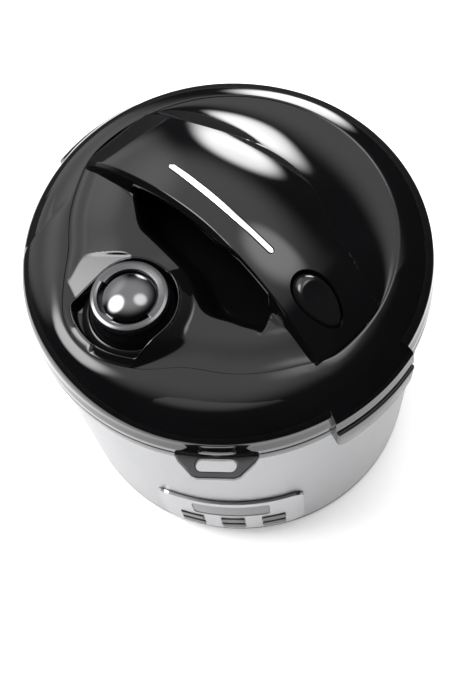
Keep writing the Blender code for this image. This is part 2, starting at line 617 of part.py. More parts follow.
def make_pot_and_heater():
    turned("inner_pot", [(0, 45.7), (96, 45.7), (104, 48.4), (108.6, 53), (110, 60), (POT_R / MM, 210), (117, 210),
                         (117, 208.5), (111.5, 208.5), (111.5, 59.7), (109.8, 52.2), (105, 47.2),
                         (97, 44.2), (0, 44.2)], POLISHED_STEEL)
    turned("heat_shield", [(6.5, 21.2), (108, 21.2), (115.3, 28), (115.3, 204.8), (121.5, 204.8),
                           (121.5, 203.6), (116.5, 203.6), (116.5, 27.5), (108.5, 20), (6.5, 20)], ALUMINIUM)
    turned("heating_plate", [(17.5, 43.7), (92, 43.7), (95.5, 41.5), (95.5, 34), (90, 30), (17.5, 30)], ALUMINIUM)
    turned("temperature_sensor", [(0, 43.6), (15.5, 43.6), (16.5, 42.6), (16.5, 37), (5, 37), (5, 15), (0, 15)],
           ALUMINIUM, steps=SMALL_STEPS)
    coil("sensor_spring", 9 * MM, 0.7 * MM, 21.5 * MM, 36.7 * MM, 4, SATIN_STEEL)


def panel_piece(name, radii, half_width, heights, corner, look=None, group=None):
    """A plate bent round the housing's front, with round corners."""
    middle = (heights[0] + heights[1]) / 2
    plate = arc_block(name, radii, (heights[0] - 5 * MM, heights[1] + 5 * MM), math.radians(-90),
                      math.radians(26), look, group, steps=26)
    front = Matrix.Translation((0, 0, middle)) @ Matrix.Rotation(math.pi / 2, 4, "X")
    outline = rounded_outline(half_width, (heights[1] - heights[0]) / 2, corner, 4)
    shape = prism(name + "_shape", outline, 100 * MM, 180 * MM, front, group=CUTTERS)
    boolean(plate, shape, "INTERSECT")
    return plate


def make_panel():
    panel = panel_piece("control_panel", PANEL_R, PANEL_HALF_WIDTH, PANEL_Z, 10 * MM, SATIN_STEEL)
    opening = panel_piece("display_opening", (150 * MM, 158 * MM), 32 * MM, (64 * MM, 92 * MM), 4 * MM,
                          group=CUTTERS)
    boolean(panel, opening)
    panel_piece("display_window", (152.9 * MM, 154.6 * MM), 31.6 * MM, (64.4 * MM, 91.6 * MM), 4 * MM, CLEAR)
    width, depth, height = KEY_SIZE
    number = 0
    for row in KEY_ROWS_Z:
        for angle in KEY_ANGLES:
            number += 1
            centre = Vector((0, -152.6 * MM, row))
            half = Vector((width / 2, depth / 2, height / 2))
            key = block(f"key_{number}", -half, half, SATIN_BLACK, bevel_width=1.2 * MM)
            key.location = Matrix.Rotation(angle, 4, "Z") @ centre
            key.rotation_euler.z = angle
            grown = half + Vector((0.4 * MM, 4 * MM, 0.4 * MM))
            hole = block(f"key_hole_{number}", centre - grown, centre + grown, group=CUTTERS, turn=angle)
            boolean(panel, hole)
    block("control_board", (-46 * MM, -141.6 * MM, 28 * MM), (46 * MM, -140 * MM, 94 * MM), BOARD)
    block("power_relay", (-30 * MM, -139.7 * MM, 34 * MM), (-10 * MM, -125 * MM, 54 * MM), SATIN_BLACK,
          bevel_width=0.8 * MM, segments=1)
    block("transformer", (4 * MM, -139.7 * MM, 34 * MM), (34 * MM, -124 * MM, 60 * MM), DARK_GREY,
          bevel_width=0.8 * MM, segments=1)


def make_inlet():
    inlet = block("power_inlet", (-20 * MM, 136 * MM, INLET_Z - 14 * MM),
                  (20 * MM, 154 * MM, INLET_Z + 14 * MM), SATIN_BLACK)
    flange = block("inlet_flange", (-25 * MM, 152.9 * MM, INLET_Z - 17 * MM),
                   (25 * MM, 156.5 * MM, INLET_Z + 17 * MM), group=CUTTERS, bevel_width=2 * MM)
    boolean(inlet, flange, "UNION")
    mouth = [(-12, -8), (12, -8), (12, 4.5), (8.5, 8), (-8.5, 8), (-12, 4.5)]
    lens = Matrix.Translation((0, 0, INLET_Z)) @ Matrix.Rotation(math.pi / 2, 4, "X")
    socket = prism("inlet_socket", [(x * MM, y * MM) for x, y in mouth], -160 * MM, -141 * MM, lens, group=CUTTERS)
    boolean(inlet, socket)
    for index, (x, z) in enumerate([(-7, -2), (0, 2), (7, -2)]):
        low = Vector((x * MM - 1 * MM, 141.3 * MM, INLET_Z + (z - 2) * MM))
        high = Vector((x * MM + 1 * MM, 151.5 * MM, INLET_Z + (z + 2) * MM))
        block(f"inlet_pin_{index + 1}", low, high, BRASS, bevel_width=0.4 * MM, segments=1)


def make_condensate_cup():
    plate_back = 152.9
    outline = [(-36, plate_back), (36, plate_back), (36, 160.5), (31.9, 160.5), (31.9, 158.6), (34, 158.6),
               (34, 155), (-34, 155), (-34, 158.6), (-31.9, 158.6), (-31.9, 160.5), (-36, 160.5)]
    prism("cup_bracket", [(x * MM, y * MM) for x, y in outline], 152 * MM, 190 * MM, look=SATIN_BLACK)
    outline = [(-33.6, 155.4), (33.6, 155.4), (33.6, 158.2), (31.4, 158.2), (31.4, 167.5), (29.4, 169.5),
               (-29.4, 169.5), (-31.4, 167.5), (-31.4, 158.2), (-33.6, 158.2)]
    cup = prism("condensate_cup", [(x * MM, y * MM) for x, y in outline], CUP_Z[0], CUP_Z[1], look=CLEAR)
    hollow = block("cup_hollow", (-29.4 * MM, 157.2 * MM, CUP_Z[0] + 2 * MM),
                   (29.4 * MM, 167.5 * MM, CUP_Z[1] + 10 * MM), group=CUTTERS, bevel_width=1.5 * MM)
    boolean(cup, hollow)


make_bottom()
make_shell()
make_base_rim()
make_lock_ring()
make_pot_and_heater()
make_panel()
make_inlet()
make_condensate_cup()
make_seal()
make_lid_plate()
make_float_valve()
make_valve()
make_lid_cover()
make_lid_handle()
strip_bar("handle_strip", -0.1 * MM, 0.9 * MM, 0.3 * MM, look=CHROME)
make_release_button()
make_lock_linkage()
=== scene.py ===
"""Looks of the electric pressure cooker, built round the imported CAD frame.

The lid is a height surface over the plan, in coordinates along (s) and across (n) the handle; the
turned pieces are profiles with rounded corners. Everything is in metres, in the CAD's own frame.
"""
import json
import math

import bmesh
import bpy
import numpy as np
from mathutils import Matrix, Vector


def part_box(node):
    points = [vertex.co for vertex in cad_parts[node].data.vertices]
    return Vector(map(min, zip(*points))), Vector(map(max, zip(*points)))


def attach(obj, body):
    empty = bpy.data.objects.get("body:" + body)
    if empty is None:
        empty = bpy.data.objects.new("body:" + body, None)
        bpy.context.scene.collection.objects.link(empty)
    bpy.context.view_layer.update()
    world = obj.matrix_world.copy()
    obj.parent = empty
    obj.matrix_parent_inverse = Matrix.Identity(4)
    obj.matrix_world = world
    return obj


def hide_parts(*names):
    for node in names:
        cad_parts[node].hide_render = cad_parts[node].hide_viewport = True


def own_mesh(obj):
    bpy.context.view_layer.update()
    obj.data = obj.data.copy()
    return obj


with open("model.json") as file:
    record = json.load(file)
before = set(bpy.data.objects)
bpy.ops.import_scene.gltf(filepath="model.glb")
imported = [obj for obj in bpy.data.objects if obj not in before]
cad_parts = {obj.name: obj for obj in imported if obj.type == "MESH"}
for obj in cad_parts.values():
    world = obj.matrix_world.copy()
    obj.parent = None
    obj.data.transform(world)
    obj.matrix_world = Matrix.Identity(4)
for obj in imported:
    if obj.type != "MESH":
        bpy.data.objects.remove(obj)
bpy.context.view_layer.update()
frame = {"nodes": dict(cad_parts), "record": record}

MM = 0.001
ROUND = 256  # segments of a large turned piece
JOINTS = {joint["name"]: joint for joint in frame["record"]["behaviour"]["joints"]}


def middle(node):
    """The centre of a node's box."""
    low, high = (Vector(corner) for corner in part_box(node))
    return (low + high) / 2


# --- Places read from the frame ---
LID_Z = JOINTS["lid_turn"]["pos_m"][2]
RIM_R = float(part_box("base_rim")[1][0])
VALVE = middle("valve_knob")
BUTTON = middle("release_button")
ACROSS = -Vector(JOINTS["lever_tilt"]["axis"])  # unit vector across the handle, away from the valve
ALONG = Vector((ACROSS.y, -ACROSS.x, 0))  # unit vector along the handle, towards the button
BUTTON_S, BUTTON_N = BUTTON.dot(ALONG), BUTTON.dot(ACROSS)
LUGS = (math.radians(-45), math.radians(135))  # angles of the lid's two lugs

# --- Lid shape, heights above the plane in which it meets the base ---
BOWL_R = 123.4 * MM
# Radius in mm of the line where the bowl meets the ring, at angles in degrees round the lid: round on
# the far side, drawn in before and after the valve, and pushed out by the valve's well.
BOWL_LINE = {
    -180: 112.2, -172: 111.6, -165: 115.4, -157: 120.5, -150: 127, -143: 130, -135: 129.8, -128: 127.2,
    -121: 121.8, -114: 116.6, -108: 110.4, -102: 106.2, -96: 105.8, -90: 107.6, -78: 110.8, -66: 114,
    -58: 117.6, -54: 121.5, -51: 123.6, -20: 124.4, 60: 124, 120: 124, 147: 124, 152: 121.5, 158: 118.6,
    168: 115.6, 175: 114,
}
LIP = 0.6 * MM  # height of the ring's inner edge above the bowl
HIDDEN = 35.5 * MM  # the cover's height where the handle stands on it
RING_TOP = 38.8 * MM
SKIRT_TOP = 13.6 * MM
SKIRT_TOP_R = RIM_R - 2.4 * MM
COVER_WALL = 3 * MM
POCKET_FLOOR = 16 * MM
HANDLE_TOP = 78 * MM
HANDLE_HALF = 121 * MM  # half length of the handle
HANDLE_GRIP = 66 * MM  # half length of the free bar over the pocket
WELL_R = 34.6 * MM
WELL_FLOOR = 26 * MM
WELL_RIM = 48 * MM
LEDGE = 4.6 * MM  # shelf between the well and the ring
SHOULDER = 2.6 * MM  # how far the rear mound stands above the ring at once
LUG_HALF = math.radians(14)
LUG_OUT = 5.3 * MM
STRIP_HALF = 51.5 * MM  # the bright strip: half length, half width, place
STRIP_WIDTH = 2.2 * MM
STRIP_N = 0.9 * MM
CHAMFER = 3.2 * MM  # the handle's sloping grip edge: width and steepness
CHAMFER_FALL = 0.68
BUTTON_LONG, BUTTON_WIDE = 21 * MM, 14 * MM  # half length and half width of the button's recess
BUTTON_FLOOR = 36.3 * MM
GROOVE_FLOOR = 64 * MM
# Walls of the three sunk pockets: distance inside the rim in mm, and share of the pocket's depth.
BUTTON_PROFILE = [(0.1, 0.012), (0.3, 0.04), (0.5, 0.12), (0.6, 0.5), (0.7, 1.0)]
GROOVE_PROFILE = [(0.06, 0.02), (0.15, 0.08), (0.2, 0.25)]
WELL_PROFILE = [(0.08, 0.03), (0.3, 0.035), (0.45, -0.01), (0.7, -0.03), (1.3, -0.034), (1.7, -0.02),
                (1.9, 0.03), (2.05, 0.3), (2.2, 0.6), (2.5, 0.88), (3.1, 0.97), (4.2, 1.0)]


# --- Small helpers ---
def smooth(value):
    value = np.clip(value, 0.0, 1.0)
    return value * value * (3 - 2 * value)


def soft_max(first, second, width):
    """The larger of two heights, with the corner between them rounded over a width."""
    blend = np.clip(0.5 + (first - second) / (2 * width), 0, 1)
    return second + (first - second) * blend + width * blend * (1 - blend)


def soft_min(first, second, width):
    return -soft_max(-first, -second, width)


def arc_ease(distance, radius):
    """How far a rounded edge of a radius drops below its surface, at a distance in from the edge."""
    inside = np.clip(1 - distance / radius, 0, 1)
    return radius * (1 - np.sqrt(1 - inside * inside))


def place(s, n):
    """The point at distances along and across the handle."""
    return ALONG * s + ACROSS * n


def plan(x, y):
    """Distances along and across the handle of a point."""
    return x * ALONG.x + y * ALONG.y, x * ACROSS.x + y * ACROSS.y


def finish_mesh(mesh, look, sharp=35):
    """Smooth shading with sharp edges above an angle in degrees, and one material."""
    mesh.shade_smooth()
    mesh.set_sharp_from_angle(angle=math.radians(sharp))
    mesh.materials.clear()
    if look:
        mesh.materials.append(look)


def add_object(name, data):
    obj = bpy.data.objects.new(name, data)
    bpy.context.scene.collection.objects.link(obj)
    return obj


def make_object(name, bm, look=None, body=None, replaces=(), sharp=35):
    """An object from a bmesh, with its faces turned outward, and what the frame needs to know of it."""
    bmesh.ops.recalc_face_normals(bm, faces=bm.faces)
    mesh = bpy.data.meshes.new(name)
    bm.to_mesh(mesh)
    bm.free()
    finish_mesh(mesh, look, sharp)
    obj = add_object(name, mesh)
    if body:
        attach(obj, body)
    if replaces:
        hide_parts(*replaces)
    return obj


def circle(radius, height, angles, at=(0, 0)):
    """Points round a vertical axis; radius and height are one number each, or arrays."""
    return np.stack([at[0] + radius * np.cos(angles), at[1] + radius * np.sin(angles),
                     height + 0 * angles], axis=-1)


def grid(points, closed=False, flip=False):
    """A bmesh of quads over rings of points; if closed, the last ring is joined to the first."""
    rings, count = points.shape[:2]
    index = np.arange(rings * count).reshape(rings, count)
    if closed:
        index = np.vstack([index, index[:1]])
    index = np.hstack([index, index[:, :1]])
    corners = [index[:-1, :-1], index[1:, :-1], index[1:, 1:], index[:-1, 1:]]
    quads = np.stack(corners, axis=-1).reshape(-1, 4)
    if flip:
        quads = quads[:, ::-1]
    mesh = bpy.data.meshes.new("grid")
    mesh.from_pydata(points.reshape(-1, 3).tolist(), [], quads.tolist())
    bm = bmesh.new()
    bm.from_mesh(mesh)
    bm.verts.ensure_lookup_table()
    bpy.data.meshes.remove(mesh)
    return bm


def tube(rows, flip=False):
    """A bmesh over rings of points, with a face across the first ring and one across the last."""
    points = np.array(rows)
    bm = grid(points, flip=flip)
    count = points.shape[1]
    for start in (0, len(bm.verts) - count):
        bm.faces.new([bm.verts[start + k] for k in range(count)])
    return bm


def rounded_profile(corners):
    """A polyline through (radius, height, corner radius) in mm, with its corners rounded."""
    count, steps = len(corners), 5
    closed = corners[0][0] > 0
    path = []
    for i, (x, z, *fillet) in enumerate(corners):
        here = Vector((x, z))
        before = Vector(corners[i - 1][:2]) - here
        after = Vector(corners[(i + 1) % count][:2]) - here
        at_end = not closed and i in (0, count - 1)
        if not fillet or at_end or before.angle(after) > math.radians(178):
            path.append((x * MM, z * MM))
            continue
        angle = before.angle(after)
        back = min(fillet[0] / math.tan(angle / 2), before.length * 0.49, after.length * 0.49)
        radius = back * math.tan(angle / 2)
        inward = (before.normalized() + after.normalized()).normalized()
        centre = here + inward * radius / math.sin(angle / 2)
        start = here + before.normalized() * back - centre
        sweep = start.angle_signed(here + after.normalized() * back - centre)
        for step in range(steps + 1):
            point = centre + Matrix.Rotation(-sweep * step / steps, 2) @ start
            path.append((point.x * MM, point.y * MM))
    return path, closed


def turned(name, corners, look, body, replaces=(), at=(0, 0), segments=ROUND):
    """A turned piece: a profile with rounded corners, spun about a vertical axis.

    The profile is a closed loop away from the axis, or it starts and ends on the axis.
    """
    path, closed = rounded_profile(corners)
    path = np.array(path)
    wall = path if closed else path[1:-1]
    angles = np.linspace(0, 2 * math.pi, segments, endpoint=False)
    bm = grid(circle(wall[:, :1], wall[:, 1:], angles, at), closed)
    if not closed:
        for row, tip in ((0, path[0]), (len(wall) - 1, path[-1])):
            centre = bm.verts.new((at[0], at[1], tip[1]))
            bm.verts.ensure_lookup_table()
            ring = [bm.verts[row * segments + j] for j in range(segments)]
            for j in range(segments):
                bm.faces.new([centre, ring[j], ring[(j + 1) % segments]])
    return make_object(name, bm, look, body, replaces, sharp=32)


def prism(name, outline, low, high, matrix, look=None, body=None, replaces=()):
    """An outline extruded between two heights and placed by a matrix."""
    bm = bmesh.new()
    face = bm.faces.new([bm.verts.new((x, y, low)) for x, y in outline])
    raised = bmesh.ops.extrude_face_region(bm, geom=[face])["geom"]
    raised = [part for part in raised if isinstance(part, bmesh.types.BMVert)]
    bmesh.ops.translate(bm, verts=raised, vec=(0, 0, high - low))
    bmesh.ops.transform(bm, matrix=matrix, verts=bm.verts)
    return make_object(name, bm, look, body, replaces)


def round_edges(obj, width, segments, angle=40, harden=True):
    bevel = obj.modifiers.new("round_edges", "BEVEL")
    bevel.width = width
    bevel.segments = segments
    bevel.limit_method = "ANGLE"
    bevel.angle_limit = math.radians(angle)
    bevel.harden_normals = harden


def cut(obj, outline, low, high, matrix):
    """Cut a prism out of a piece and keep the result in its mesh."""
    cutter = prism(obj.name + "_cutter", outline, low, high, matrix)
    change = obj.modifiers.new("cut", "BOOLEAN")
    change.operation = "DIFFERENCE"
    change.solver = "EXACT"
    change.object = cutter
    bpy.context.view_layer.update()
    evaluated = obj.evaluated_get(bpy.context.evaluated_depsgraph_get())
    old, new = obj.data, bpy.data.meshes.new_from_object(evaluated)
    obj.modifiers.remove(change)
    obj.data = new
    finish_mesh(new, old.materials[0])
    bpy.data.objects.remove(cutter)
    bpy.data.meshes.remove(old)


def rounded_outline(half_width, half_height, radius):
    steps = 8
    points = []
    for quarter, (sx, sy) in enumerate([(1, 1), (-1, 1), (-1, -1), (1, -1)]):
        for step in range(steps + 1):
            angle = math.pi / 2 * (quarter + step / steps)
            points.append((sx * (half_width - radius) + radius * math.cos(angle),
                           sy * (half_height - radius) + radius * math.sin(angle)))
    return points


def wrapped(angle):
    """The same angle, from half a turn below zero to half a turn above."""
    return np.mod(angle + math.pi, 2 * math.pi) - math.pi


def ring_angles(count, centres, half, offsets):
    """Angles round a circle, with more of them near the ends of an arc about each centre."""
    angles = list(np.linspace(-math.pi, math.pi, count, endpoint=False))
    for centre in centres:
        for end in (-half, half):
            angles += [centre + end + offset for offset in offsets]
    return np.unique(np.round(wrapped(np.array(angles)), 5))


def arc_mask(angles, centres, half, ramp):
    """1 within an arc about each centre and 0 outside, with a short ramp between."""
    mask = np.zeros_like(angles)
    for centre in centres:
        away = np.abs(wrapped(angles - centre))
        mask = np.maximum(mask, np.clip((half - away) / ramp + 0.5, 0, 1))
    return mask


# --- Materials ---
def add_node(tree, kind, **values):
    """A shader node with some of its inputs set; an underscore stands for a space in an input's name."""
    node = tree.nodes.new("ShaderNode" + kind)
    for name, value in values.items():
        node.inputs[name.replace("_", " ")].default_value = value
    return node


def node_material(name, color, roughness, metallic=0.0, ior=1.5):
    material = bpy.data.materials.new(name)
    material.use_nodes = True
    shader = material.node_tree.nodes["Principled BSDF"]
    shader.inputs["Base Color"].default_value = (*color, 1)
    shader.inputs["Roughness"].default_value = roughness
    shader.inputs["Metallic"].default_value = metallic
    shader.inputs["IOR"].default_value = ior
    return material, material.node_tree, shader


def add_noise(tree, scale, detail=3.0, squeeze=(1, 1, 1)):
    """Noise in the object's own metres, squeezed along an axis if wanted."""
    coordinates = add_node(tree, "TexCoord")
    mapping = add_node(tree, "Mapping", Scale=squeeze)
    noise = add_node(tree, "TexNoise", Scale=scale, Detail=detail)
    tree.links.new(coordinates.outputs["Object"], mapping.inputs["Vector"])
    tree.links.new(mapping.outputs["Vector"], noise.inputs["Vector"])
    return noise


def vary(tree, noise, socket, low, high):
    """Let the noise drive a value between two limits."""
    ramp = add_node(tree, "MapRange", From_Min=0.3, From_Max=0.7, To_Min=low, To_Max=high)
    tree.links.new(noise.outputs["Fac"], ramp.inputs["Value"])
    tree.links.new(ramp.outputs["Result"], socket)


def vary_color(tree, noise, socket, first, second):
    """Let the noise drive a colour between two others."""
    ramp = add_node(tree, "ValToRGB")
    for element, color, position in zip(ramp.color_ramp.elements, (first, second), (0.3, 0.7)):
        element.color = (*color, 1)
        element.position = position
    tree.links.new(noise.outputs["Fac"], ramp.inputs["Fac"])
    tree.links.new(ramp.outputs["Color"], socket)


def add_bump(tree, noise, shader, strength, distance):
    bump = add_node(tree, "Bump", Strength=strength, Distance=distance)
    tree.links.new(noise.outputs["Fac"], bump.inputs["Height"])
    tree.links.new(bump.outputs["Normal"], shader.inputs["Normal"])


def plastic(name, color, roughness, ripple=0.0, grain=0.0, spread=0.04):
    """Moulded plastic: a faint orange-peel ripple or a grain, and slightly uneven gloss."""
    material, tree, shader = node_material(name, color, roughness)
    uneven = add_noise(tree, 38, 4)
    vary(tree, uneven, shader.inputs["Roughness"], max(0.02, roughness - spread), roughness + spread)
    tint = add_noise(tree, 12, 2)
    darker, lighter = [c * 0.8 for c in color], [c * 1.25 for c in color]
    vary_color(tree, tint, shader.inputs["Base Color"], darker, lighter)
    if grain:
        add_bump(tree, add_noise(tree, 1400, 2), shader, grain, 0.0002)
    elif ripple:
        add_bump(tree, add_noise(tree, 160, 2), shader, ripple, 0.0003)
    return material


def metal(name, color, roughness, brushed=None, spread=0.05, strength=0.15):
    """Metal with faint wear, or brushed: its noise is squeezed into fine lines across one axis."""
    material, tree, shader = node_material(name, color, roughness, metallic=1.0)
    if brushed:
        lines = add_noise(tree, 60, 6, brushed)
        add_bump(tree, lines, shader, strength, 0.00005)
    else:
        lines = add_noise(tree, 55, 5)
    vary(tree, lines, shader.inputs["Roughness"], max(0.02, roughness - spread), roughness + spread)
    vary_color(tree, lines, shader.inputs["Base Color"], [c * 0.94 for c in color], color)
    return material


def clear(name, color, roughness):
    material, tree, shader = node_material(name, color, roughness, ior=1.46)
    shader.inputs["Transmission Weight"].default_value = 0.9
    uneven = add_noise(tree, 90, 2)
    vary(tree, uneven, shader.inputs["Roughness"], roughness, roughness + 0.06)
    return material


GLOSS = plastic("gloss_black_plastic", (0.003, 0.003, 0.0034), 0.055, ripple=0.02, spread=0.015)
KNOB_GLOSS = plastic("knob_black_plastic", (0.006, 0.006, 0.0065), 0.09, ripple=0.02, spread=0.02)
RIM = plastic("rim_dark_plastic", (0.018, 0.018, 0.02), 0.24, grain=0.06, spread=0.04)
SATIN = plastic("satin_black_plastic", (0.016, 0.016, 0.017), 0.4, grain=0.18)
BUTTON_LOOK = plastic("button_black_plastic", (0.005, 0.005, 0.0055), 0.16, grain=0.03, spread=0.03)
RUBBER = plastic("foot_rubber", (0.02, 0.02, 0.02), 0.75, grain=0.3)
SILICONE = plastic("seal_silicone", (0.62, 0.62, 0.58), 0.45, grain=0.1)
BOARD = plastic("board_lacquer", (0.012, 0.12, 0.04), 0.4, grain=0.05)
KEY_LOOK = plastic("key_plastic", (0.03, 0.03, 0.032), 0.35, grain=0.12)
SHELL = metal("satin_shell_metal", (0.35, 0.35, 0.362), 0.36, brushed=(1, 1, 26), strength=0.1)
PANEL = metal("panel_metal", (0.4, 0.4, 0.41), 0.34, brushed=(1, 1, 30), strength=0.1)
POLISHED = metal("polished_steel", (0.7, 0.7, 0.71), 0.12, spread=0.04)
PLAIN_STEEL = metal("plain_steel", (0.56, 0.56, 0.57), 0.3, brushed=(1, 1, 12))
CHROME = metal("bright_chrome", (0.86, 0.86, 0.87), 0.05, spread=0.02)
CAP_METAL = metal("cap_dark_chrome", (0.16, 0.16, 0.165), 0.1, spread=0.03)
KNOB_RING = metal("knob_ring_metal", (0.12, 0.12, 0.125), 0.2, spread=0.04)
ALUMINIUM = metal("cast_aluminium", (0.62, 0.62, 0.63), 0.42, spread=0.1)
BRASS = metal("plain_brass", (0.72, 0.52, 0.22), 0.25)
CLEAR = clear("clear_plastic", (0.75, 0.8, 0.83), 0.06)
SCREEN = plastic("display_glass", (0.004, 0.006, 0.01), 0.05, spread=0.01)


# --- Sunk features ---
def nearest_on(outline, x, y):
    """Signed distance inside a closed outline (negative inside), nearest point and inward normal."""
    step = np.roll(outline, -1, axis=0) - outline
    share = (x - outline[:, 0]) * step[:, 0] + (y - outline[:, 1]) * step[:, 1]
    share = share / (step ** 2).sum(axis=1)
    near = outline + step * np.clip(share, 0, 1)[:, None]
    gap = np.hypot(near[:, 0] - x, near[:, 1] - y)
    best = int(gap.argmin())
    along = step[best] / np.hypot(*step[best])
    inward = np.array([-along[1], along[0]])
    side = (x - near[best, 0]) * inward[0] + (y - near[best, 1]) * inward[1]
    return (-gap[best] if side > 0 else gap[best]), near[best], inward


def sink(bm, verts, outline, surface, profile, floor):
    """Open a surface along an outline, counterclockwise from above, and sink a pocket to a floor.

    The profile gives each loop's distance inside the outline in mm and its share of the pocket's depth.
    """
    outline = np.array(outline)
    low, high = outline.min(axis=0), outline.max(axis=0)
    near = [v for v in verts if v.is_valid and low[0] < v.co.x < high[0] and low[1] < v.co.y < high[1]]
    inside = {v for v in near if nearest_on(outline, v.co.x, v.co.y)[0] < 0}
    touched = {f for v in inside for f in v.link_faces}
    doomed = {f for f in touched if all(v in inside for v in f.verts)}
    rim = {e for f in doomed for e in f.edges if sum(g in doomed for g in e.link_faces) == 1}
    pairs = [(e.verts[0], e.verts[1]) for e in rim]
    bmesh.ops.delete(bm, geom=list(doomed), context="FACES_ONLY")
    loop = {v for pair in pairs for v in pair}
    inward = {}
    for vert in loop:
        _, spot, normal = nearest_on(outline, vert.co.x, vert.co.y)
        vert.co = (spot[0], spot[1], surface(spot[0], spot[1]))
        inward[vert] = normal
    stray = [v for v in inside if v not in loop]
    current = {v: v for v in loop}
    for inset, share in profile:
        distance = inset * MM
        following = {}
        for vert in loop:
            x = vert.co.x + inward[vert][0] * distance
            y = vert.co.y + inward[vert][1] * distance
            following[vert] = bm.verts.new((x, y, vert.co.z + (floor - vert.co.z) * share))
        for first, second in pairs:
            bm.faces.new([current[first], current[second], following[second], following[first]])
        current = following
    bmesh.ops.delete(bm, geom=stray, context="VERTS")
    last = [bm.edges.get([current[first], current[second]]) for first, second in pairs]
    bmesh.ops.contextual_create(bm, geom=last)


# --- The lid's surfaces ---
def handle_left(s):
    return -15.8 * MM - 10.2 * MM * (np.abs(s - 5 * MM) / (116 * MM)) ** 1.6 - chamfer(s)


def handle_right(s):
    return 30 * MM + 40 * MM * np.exp(-(s / (75 * MM)) ** 2)


def chamfer(s):
    """Width of the sloping grip edge, which runs out towards the button."""
    return CHAMFER * smooth((38 * MM - s) / (24 * MM))


def handle_surface(s, n):
    past = np.maximum(np.abs(s) - 80 * MM, 0) / (41 * MM)
    along = HANDLE_TOP - 31 * MM * (s / HANDLE_HALF) ** 2 - 7 * MM * past ** 2
    flatten = 1 - 0.9 * (s / HANDLE_HALF) ** 4
    right = 22 * MM * ((n - 2 * MM) / (64 * MM)) ** 2
    left = 3.5 * MM * ((2 * MM - n) / (31 * MM)) ** 2
    return along - np.where(n > 2 * MM, right, left) * flatten


def bowl_edge(angle):
    """Radius of the line where the bowl meets the ring."""
    known = sorted(BOWL_LINE)
    radii = [BOWL_LINE[degrees] for degrees in known]
    nearby = [np.degrees(angle) + offset for offset in np.linspace(-4, 4, 9)]
    return np.mean([np.interp(degrees, known, radii, period=360) for degrees in nearby], axis=0) * MM


def well_distance(s, n):
    """Distance outside the valve's well, a U open towards the ring; negative inside."""
    valve_s, valve_n = plan(VALVE.x, VALVE.y)
    round_end = np.hypot(s - valve_s, n - valve_n)
    return np.where(n > valve_n, round_end, np.abs(s - valve_s)) - WELL_R


def well_outline():
    """The well's rim, counterclockwise: an arc inside the ring's edge, and the U, with soft corners."""
    valve_s, valve_n = plan(VALVE.x, VALVE.y)

    def shelf(angle):
        spot = place(math.sin(angle), -math.cos(angle))
        return spot, float(bowl_edge(math.atan2(spot.y, spot.x))) - LEDGE

    corners = []
    for side in (-1, 1):
        reach = BOWL_R
        for _ in range(20):
            angle = math.asin((valve_s + side * WELL_R) / reach)
            reach = shelf(angle)[1]
        corners.append(angle)
    points = []
    for angle in np.linspace(corners[0], corners[1], 60):
        spot, reach = shelf(angle)
        points.append(spot * reach)
    for angle in np.linspace(0, math.pi, 90):
        points.append(place(valve_s + WELL_R * math.cos(angle), valve_n + WELL_R * math.sin(angle)))
    path = np.array([(p.x, p.y) for p in points + points[:1]])
    travelled = np.concatenate([[0], np.cumsum(np.hypot(*np.diff(path, axis=0).T))])
    even = np.linspace(0, travelled[-1], 320, endpoint=False)
    smoothed = np.stack([np.interp(even, travelled, path[:, k]) for k in (0, 1)], axis=-1)
    shifts = [np.roll(smoothed, shift, axis=0) for shift in range(-3, 4)]
    return [tuple(spot) for spot in np.mean(shifts, axis=0)]


def shore(s):
    """Where the mound starts to fall into the finger pocket."""
    bulge = 12.5 * MM * np.exp(-((s - 38 * MM) / (20 * MM)) ** 2)
    back = 16 * MM * smooth((-s - 38 * MM) / (34 * MM))
    front = 4 * MM * smooth((s - 62 * MM) / (16 * MM))
    return -42 * MM - bulge + back + front


